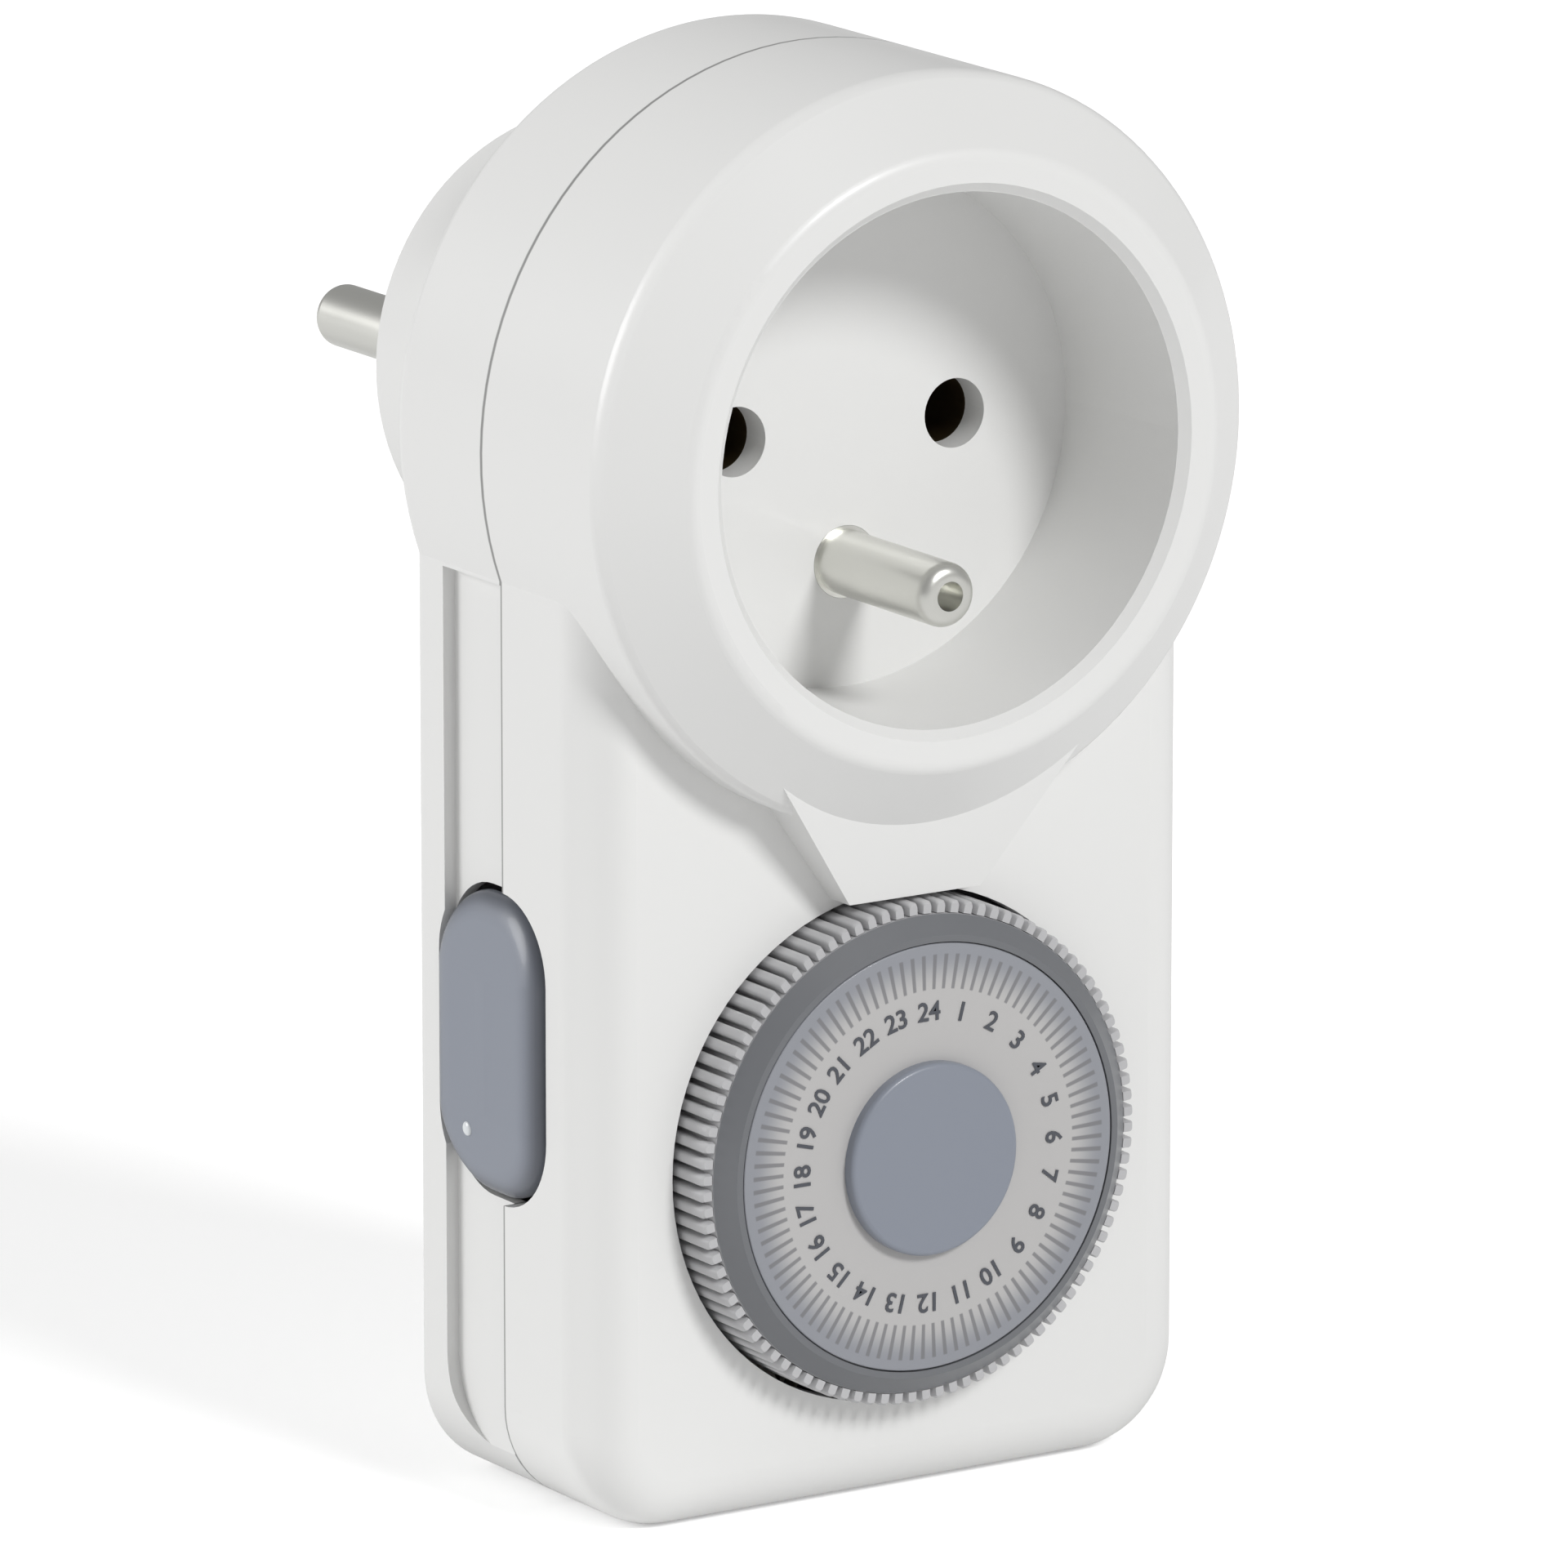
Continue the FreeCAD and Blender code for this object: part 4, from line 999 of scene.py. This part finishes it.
@dataclass(frozen=True)
class RockerPad:
    """The side rocker's visible pad, with a broad soft bevel and a crowned face. Shade is painted on the
    bevel through the pad's rim mask.

    Attributes:
        material: The pad's material.
        bead: The bead's material.
        corner: Radius of the pad's corners, in metres.
        least_corner: Radius that the corners keep at the middle of the face, in metres.
        bevel: Width of the bevel, in metres.
        drop: How far the face falls away over the bevel, in metres.
        crown: Radius of the face, in metres.
        back: Place of the pad's rear plane along X, in metres.
        reach: How far in the rings go, as a share of half the pad's depth.
        rim_gain: How quickly the painted shade comes in over the bevel.
        bead_radius: Radius of the bead, in metres.
        bead_rise: How far it stands out of the pad, in metres.
        bead_sunk: How far it reaches into the pad, in metres.
        bead_behind: Its place behind the pad's middle, in metres.
        bead_below: Its place below the pad's middle, in metres.
    """

    material: bpy.types.Material
    bead: bpy.types.Material
    corner: float = 0.006
    bevel: float = 0.0021
    drop: float = 0.0011
    crown: float = 0.060
    least_corner: float = 0.0001
    back: float = -0.0252
    reach: float = 0.92
    rim_gain: float = 2.5
    bead_radius: float = 0.00055
    bead_rise: float = 0.00022
    bead_sunk: float = 0.0004
    bead_behind: float = 0.0022
    bead_below: float = 0.0066

    def outline(self, inset: np.ndarray, half_depth: float, half_height: float,
                count: int = 96) -> np.ndarray:
        """Rounded rectangles, one to an inset.

        At angle a a point is the corner's centre, on a's side, plus the corner radius towards a. An inset
        takes as much off the half sizes as off the corner radius.

        Args:
            inset: How far each outline lies inside the first.
            half_depth: Half the rocker's size along Y.
            half_height: Half the rocker's size along Z.
            count: Points to an outline.

        Returns:
            Places along Y and Z, by outline and point.
        """
        angle = (np.arange(count) + 0.5) * 2 * np.pi / count
        radius = np.maximum(self.corner - inset, self.least_corner)[:, None]
        half = np.stack([half_depth - inset, half_height - inset])[:, :, None] - radius
        return np.stack([np.sign(np.cos(angle)) * half[0] + radius * np.cos(angle),
                         np.sign(np.sin(angle)) * half[1] + radius * np.sin(angle)], axis=-1)

    def build(self) -> bpy.types.Object:
        """Build the pad as rings from its rear rim, over the bevel, to the middle of its face.

        The face lies on a large circle about an axis along Y, and the bevel falls away as a quarter of an
        ellipse towards the rim.

        Returns:
            The pad.
        """
        low, high = box_of("override_rocker")
        middle = (low + high) / 2
        half = (high - low) / 2
        bend = np.linspace(0.0, np.pi / 2, 7)[1:]
        inward = np.linspace(self.bevel, half[1] * self.reach, 9)[1:]
        inset = np.concatenate([[0.0, 0.0], self.bevel * (1 - np.cos(bend)), inward])
        fall = np.concatenate([[0.0, self.drop], self.drop * (1 - np.sin(bend)), 0.0 * inward])
        flat = self.outline(inset, half[1], half[2])
        arc = self.crown - np.sqrt(self.crown ** 2 - flat[..., 1] ** 2)
        across = low[0] + arc + fall[:, None]
        across[0] = self.back
        points = np.stack([across, middle[1] + flat[..., 0], middle[2] + flat[..., 1]], axis=-1)
        rings, count = points.shape[:2]
        cap = np.arange(count)[None, :]
        made = mesh_object("rocker_pad", points.reshape(-1, 3),
                           [ring_faces(rings, count, False), cap[:, ::-1], cap + (rings - 1) * count], 50.0)
        # Painted shade: the rim mask grows as the bevel falls away, so the bevel is coloured darker
        rim = np.repeat(np.clip(self.rim_gain * fall / self.drop, 0.0, 1.0), count)
        made.data.attributes.new(RIM_SHADE, "FLOAT", "POINT").data.foreach_set("value", rim)
        return Piece("override_rocker", Slot.BLUE_GREY, self.material, ("override_rocker",)).fit(made)

    def dot(self) -> bpy.types.Object:
        """Build the small pale bead on the lower part of the pad.

        It is half of a flattened ball, turned about an axis along X: at height t its radius is R cos t and
        it stands H sin t out of the pad.

        Returns:
            The bead.
        """
        low, high = box_of("override_rocker")
        middle = (low + high) / 2
        tilt = np.linspace(0.0, np.pi / 2 - 0.05, 6)
        turn = np.linspace(0.0, 2 * np.pi, 24, endpoint=False)
        face = low[0] + self.crown - math.sqrt(self.crown ** 2 - self.bead_below ** 2)
        radius = self.bead_radius * np.concatenate([[1.0], np.cos(tilt)])[:, None]
        depth = np.concatenate([[face + self.bead_sunk], face - self.bead_rise * np.sin(tilt)])[:, None]
        along = middle[1] + self.bead_behind + radius * np.cos(turn)
        up = middle[2] - self.bead_below + radius * np.sin(turn)
        points = np.stack([np.broadcast_to(depth, along.shape), along, up], axis=-1)
        rings, count = along.shape
        cap = np.arange(count)[None, :]
        made = mesh_object("rocker_bead", points.reshape(-1, 3),
                           [ring_faces(rings, count, False), cap[:, ::-1], cap + (rings - 1) * count], 50.0)
        return Piece("override_rocker", Slot.BLUE_GREY, self.bead).fit(made)


@dataclass(frozen=True)
class CoilWinding:
    """The motor's coil as rows of wire.

    Attributes:
        material: Its material.
        turns: Rows of wire along the coil.
        wire_depth: How far the profile falls between two rows, in metres.
        flange_rise: How far the bobbin's flange stands over its core, in metres.
    """

    material: bpy.types.Material
    turns: int = 26
    wire_depth: float = 0.00012
    flange_rise: float = 0.0029

    def build(self) -> bpy.types.Object:
        """Turn a rippled profile.

        The outside is r = R - d (1 - |sin(k t)|), which puts a half round for each wire along the coil.

        Returns:
            The coil.
        """
        low, high = box_of("motor_coil")
        middle = (low + high) / 2
        outer = (high[0] - low[0]) / 2
        bobbin_low, bobbin_high = box_of("motor_bobbin")
        inner = (bobbin_high[0] - bobbin_low[0]) / 2 - self.flange_rise
        along = np.linspace(0.0, 1.0, self.turns * 6 + 1)
        ripple = self.wire_depth * (1 - np.abs(np.sin(np.pi * self.turns * along)))
        radii = np.concatenate([outer - ripple, [inner, inner]])
        depths = np.concatenate([low[1] + (high[1] - low[1]) * along, [high[1], low[1]]])
        made = Lathe("coil_winding", middle[0], middle[2], 96).turn(radii, depths, 60.0)
        return Piece("case", Slot.WIRE, self.material, ("motor_coil",)).fit(made)


@dataclass(frozen=True)
class Lamp:
    """A broad sun.

    Attributes:
        name: Name of the light.
        source: Direction in which it stands, seen from the object.
        strength: Its strength.
        spread_degrees: Angle that it covers in the sky.
    """

    name: str
    source: tuple[float, float, float]
    strength: float
    spread_degrees: float

    def build(self) -> None:
        """Add the light."""
        light = bpy.data.lights.new(self.name, "SUN")
        light.energy = self.strength
        light.angle = math.radians(self.spread_degrees)
        made = bpy.data.objects.new(self.name, light)
        made.rotation_euler = Vector(self.source).to_track_quat("Z", "Y").to_euler()
        bpy.context.scene.collection.objects.link(made)
        made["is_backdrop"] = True


@dataclass(frozen=True)
class Studio:
    """Pale floor, soft light and the camera.

    Attributes:
        floor_height: Place of the floor along Z, in metres.
        camera_place: Where the camera stands, in metres.
        camera_turn_degrees: How it is turned about X, Y and Z.
        lens_mm: Its focal length.
        floor_reach: Half the floor's size, in metres.
        floor_lift: Light that the floor adds where the camera sees it.
        world_strength: Strength of the even light all round.
        lights: The two suns.
    """

    floor_height: float
    camera_place: tuple[float, float, float] = (-0.5374, -0.8633, 0.2084)
    camera_turn_degrees: tuple[float, float, float] = (76.59, 0.0, -32.77)
    lens_mm: float = 318.0
    floor_reach: float = 6.0
    floor_lift: float = 0.40
    world_strength: float = 0.36
    lights: tuple[Lamp, ...] = (
        Lamp("key", (0.16, -0.79, 0.575), 1.72, 16.0),
        Lamp("side_fill", (-0.80, 0.50, 0.33), 1.55, 30.0),
    )

    def floor(self) -> None:
        """Lay a wide pale floor under the object."""
        reach = self.floor_reach
        mesh = bpy.data.meshes.new("floor")
        corners = [(-reach, -reach, self.floor_height), (reach, -reach, self.floor_height),
                   (reach, reach, self.floor_height), (-reach, reach, self.floor_height)]
        mesh.from_pydata(corners, [], [(0, 1, 2, 3)])
        made = bpy.data.objects.new("floor", mesh)
        bpy.context.scene.collection.objects.link(made)
        graph = ShaderGraph("pale_floor")
        graph.surface.inputs["Base Color"].default_value = (0.93, 0.93, 0.93, 1.0)
        graph.surface.inputs["Roughness"].default_value = 0.9
        graph.surface.inputs["Specular IOR Level"].default_value = 0.1
        path = graph.node("ShaderNodeLightPath")
        lift = graph.math("MULTIPLY", path.outputs["Is Camera Ray"], self.floor_lift)
        graph.surface.inputs["Emission Color"].default_value = (1.0, 1.0, 1.0, 1.0)
        graph.feed(graph.surface.inputs["Emission Strength"], lift)
        mesh.materials.append(graph.material)
        made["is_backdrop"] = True

    def world(self) -> None:
        """Surround the scene with even white light."""
        world = bpy.data.worlds.new("white_room")
        world.use_nodes = True
        back = world.node_tree.nodes["Background"]
        back.inputs["Color"].default_value = (1.0, 1.0, 1.0, 1.0)
        back.inputs["Strength"].default_value = self.world_strength
        bpy.context.scene.world = world

    def camera(self) -> None:
        """Stand the camera where the photo was taken from."""
        lens = bpy.data.cameras.new("photo_camera")
        lens.lens = self.lens_mm
        lens.sensor_width = 36.0
        lens.clip_start = 0.01
        made = bpy.data.objects.new("photo_camera", lens)
        made.location = self.camera_place
        made.rotation_euler = Euler([math.radians(turn) for turn in self.camera_turn_degrees])
        bpy.context.scene.collection.objects.link(made)
        bpy.context.scene.camera = made

    def build(self) -> None:
        """Build the whole studio."""
        self.floor()
        self.world()
        for lamp in self.lights:
            lamp.build()
        self.camera()
        bpy.context.scene.view_settings.view_transform = "Standard"


def clear_scene() -> None:
    """Remove what a new file starts with."""
    for item in list(bpy.data.objects):
        bpy.data.objects.remove(item)


def corners_of(bounds: Sequence) -> list[list[float]]:
    """Turn two corners into plain lists.

    Args:
        bounds: Lowest and highest corner.

    Returns:
        The corners as lists of numbers.
    """
    return [[float(number) for number in corner] for corner in bounds]


def main() -> None:
    """Load the frame, dress it piece by piece, light it and take its size for the floor's height."""
    logging.basicConfig(level=logging.INFO, format="%(message)s")
    clear_scene()
    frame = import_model()
    cad_box = corners_of(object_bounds())
    hub_low, hub_high = box_of("dial_hub")
    dial_x, dial_z = (float(hub_low[axis] + hub_high[axis]) / 2 for axis in (0, 2))
    seam = float(box_of("front_cover")[0][1]) + SEAM_DEPTH
    bevel_edge = float(box_of("tappets")[0][1])
    materials = Palette(seam, bevel_edge, dial_x, dial_z).build()
    ink = Finish("number_ink", (0.075, 0.08, 0.095), roughness=0.5, dust=0.0).build()
    LOG.info("dressed %d CAD pieces", CadPieces(frame, materials).dress())
    made = DialFace(materials, ink, dial_x, dial_z).build()
    made += Tongues(materials[Slot.TONGUE], dial_x, dial_z).build()
    # The pad's material paints shade on its bevel rim
    pad_finish = RimFinish("rocker_plastic_rim_shade", (0.24, 0.262, 0.312), roughness=0.34, coat=0.12).build()
    bead_finish = Finish("bead_white", (0.75, 0.78, 0.80), roughness=0.25, coat=0.3).build()
    pad = RockerPad(pad_finish, bead_finish)
    made += [pad.build(), pad.dot()]
    made.append(CoilWinding(materials[Slot.WIRE]).build())
    for item in made:
        LOG.info("built %s with %d faces", item.name, len(item.data.polygons))
    Studio(floor_height=cad_box[0][2]).build()


if __name__ == "__main__":
    main()
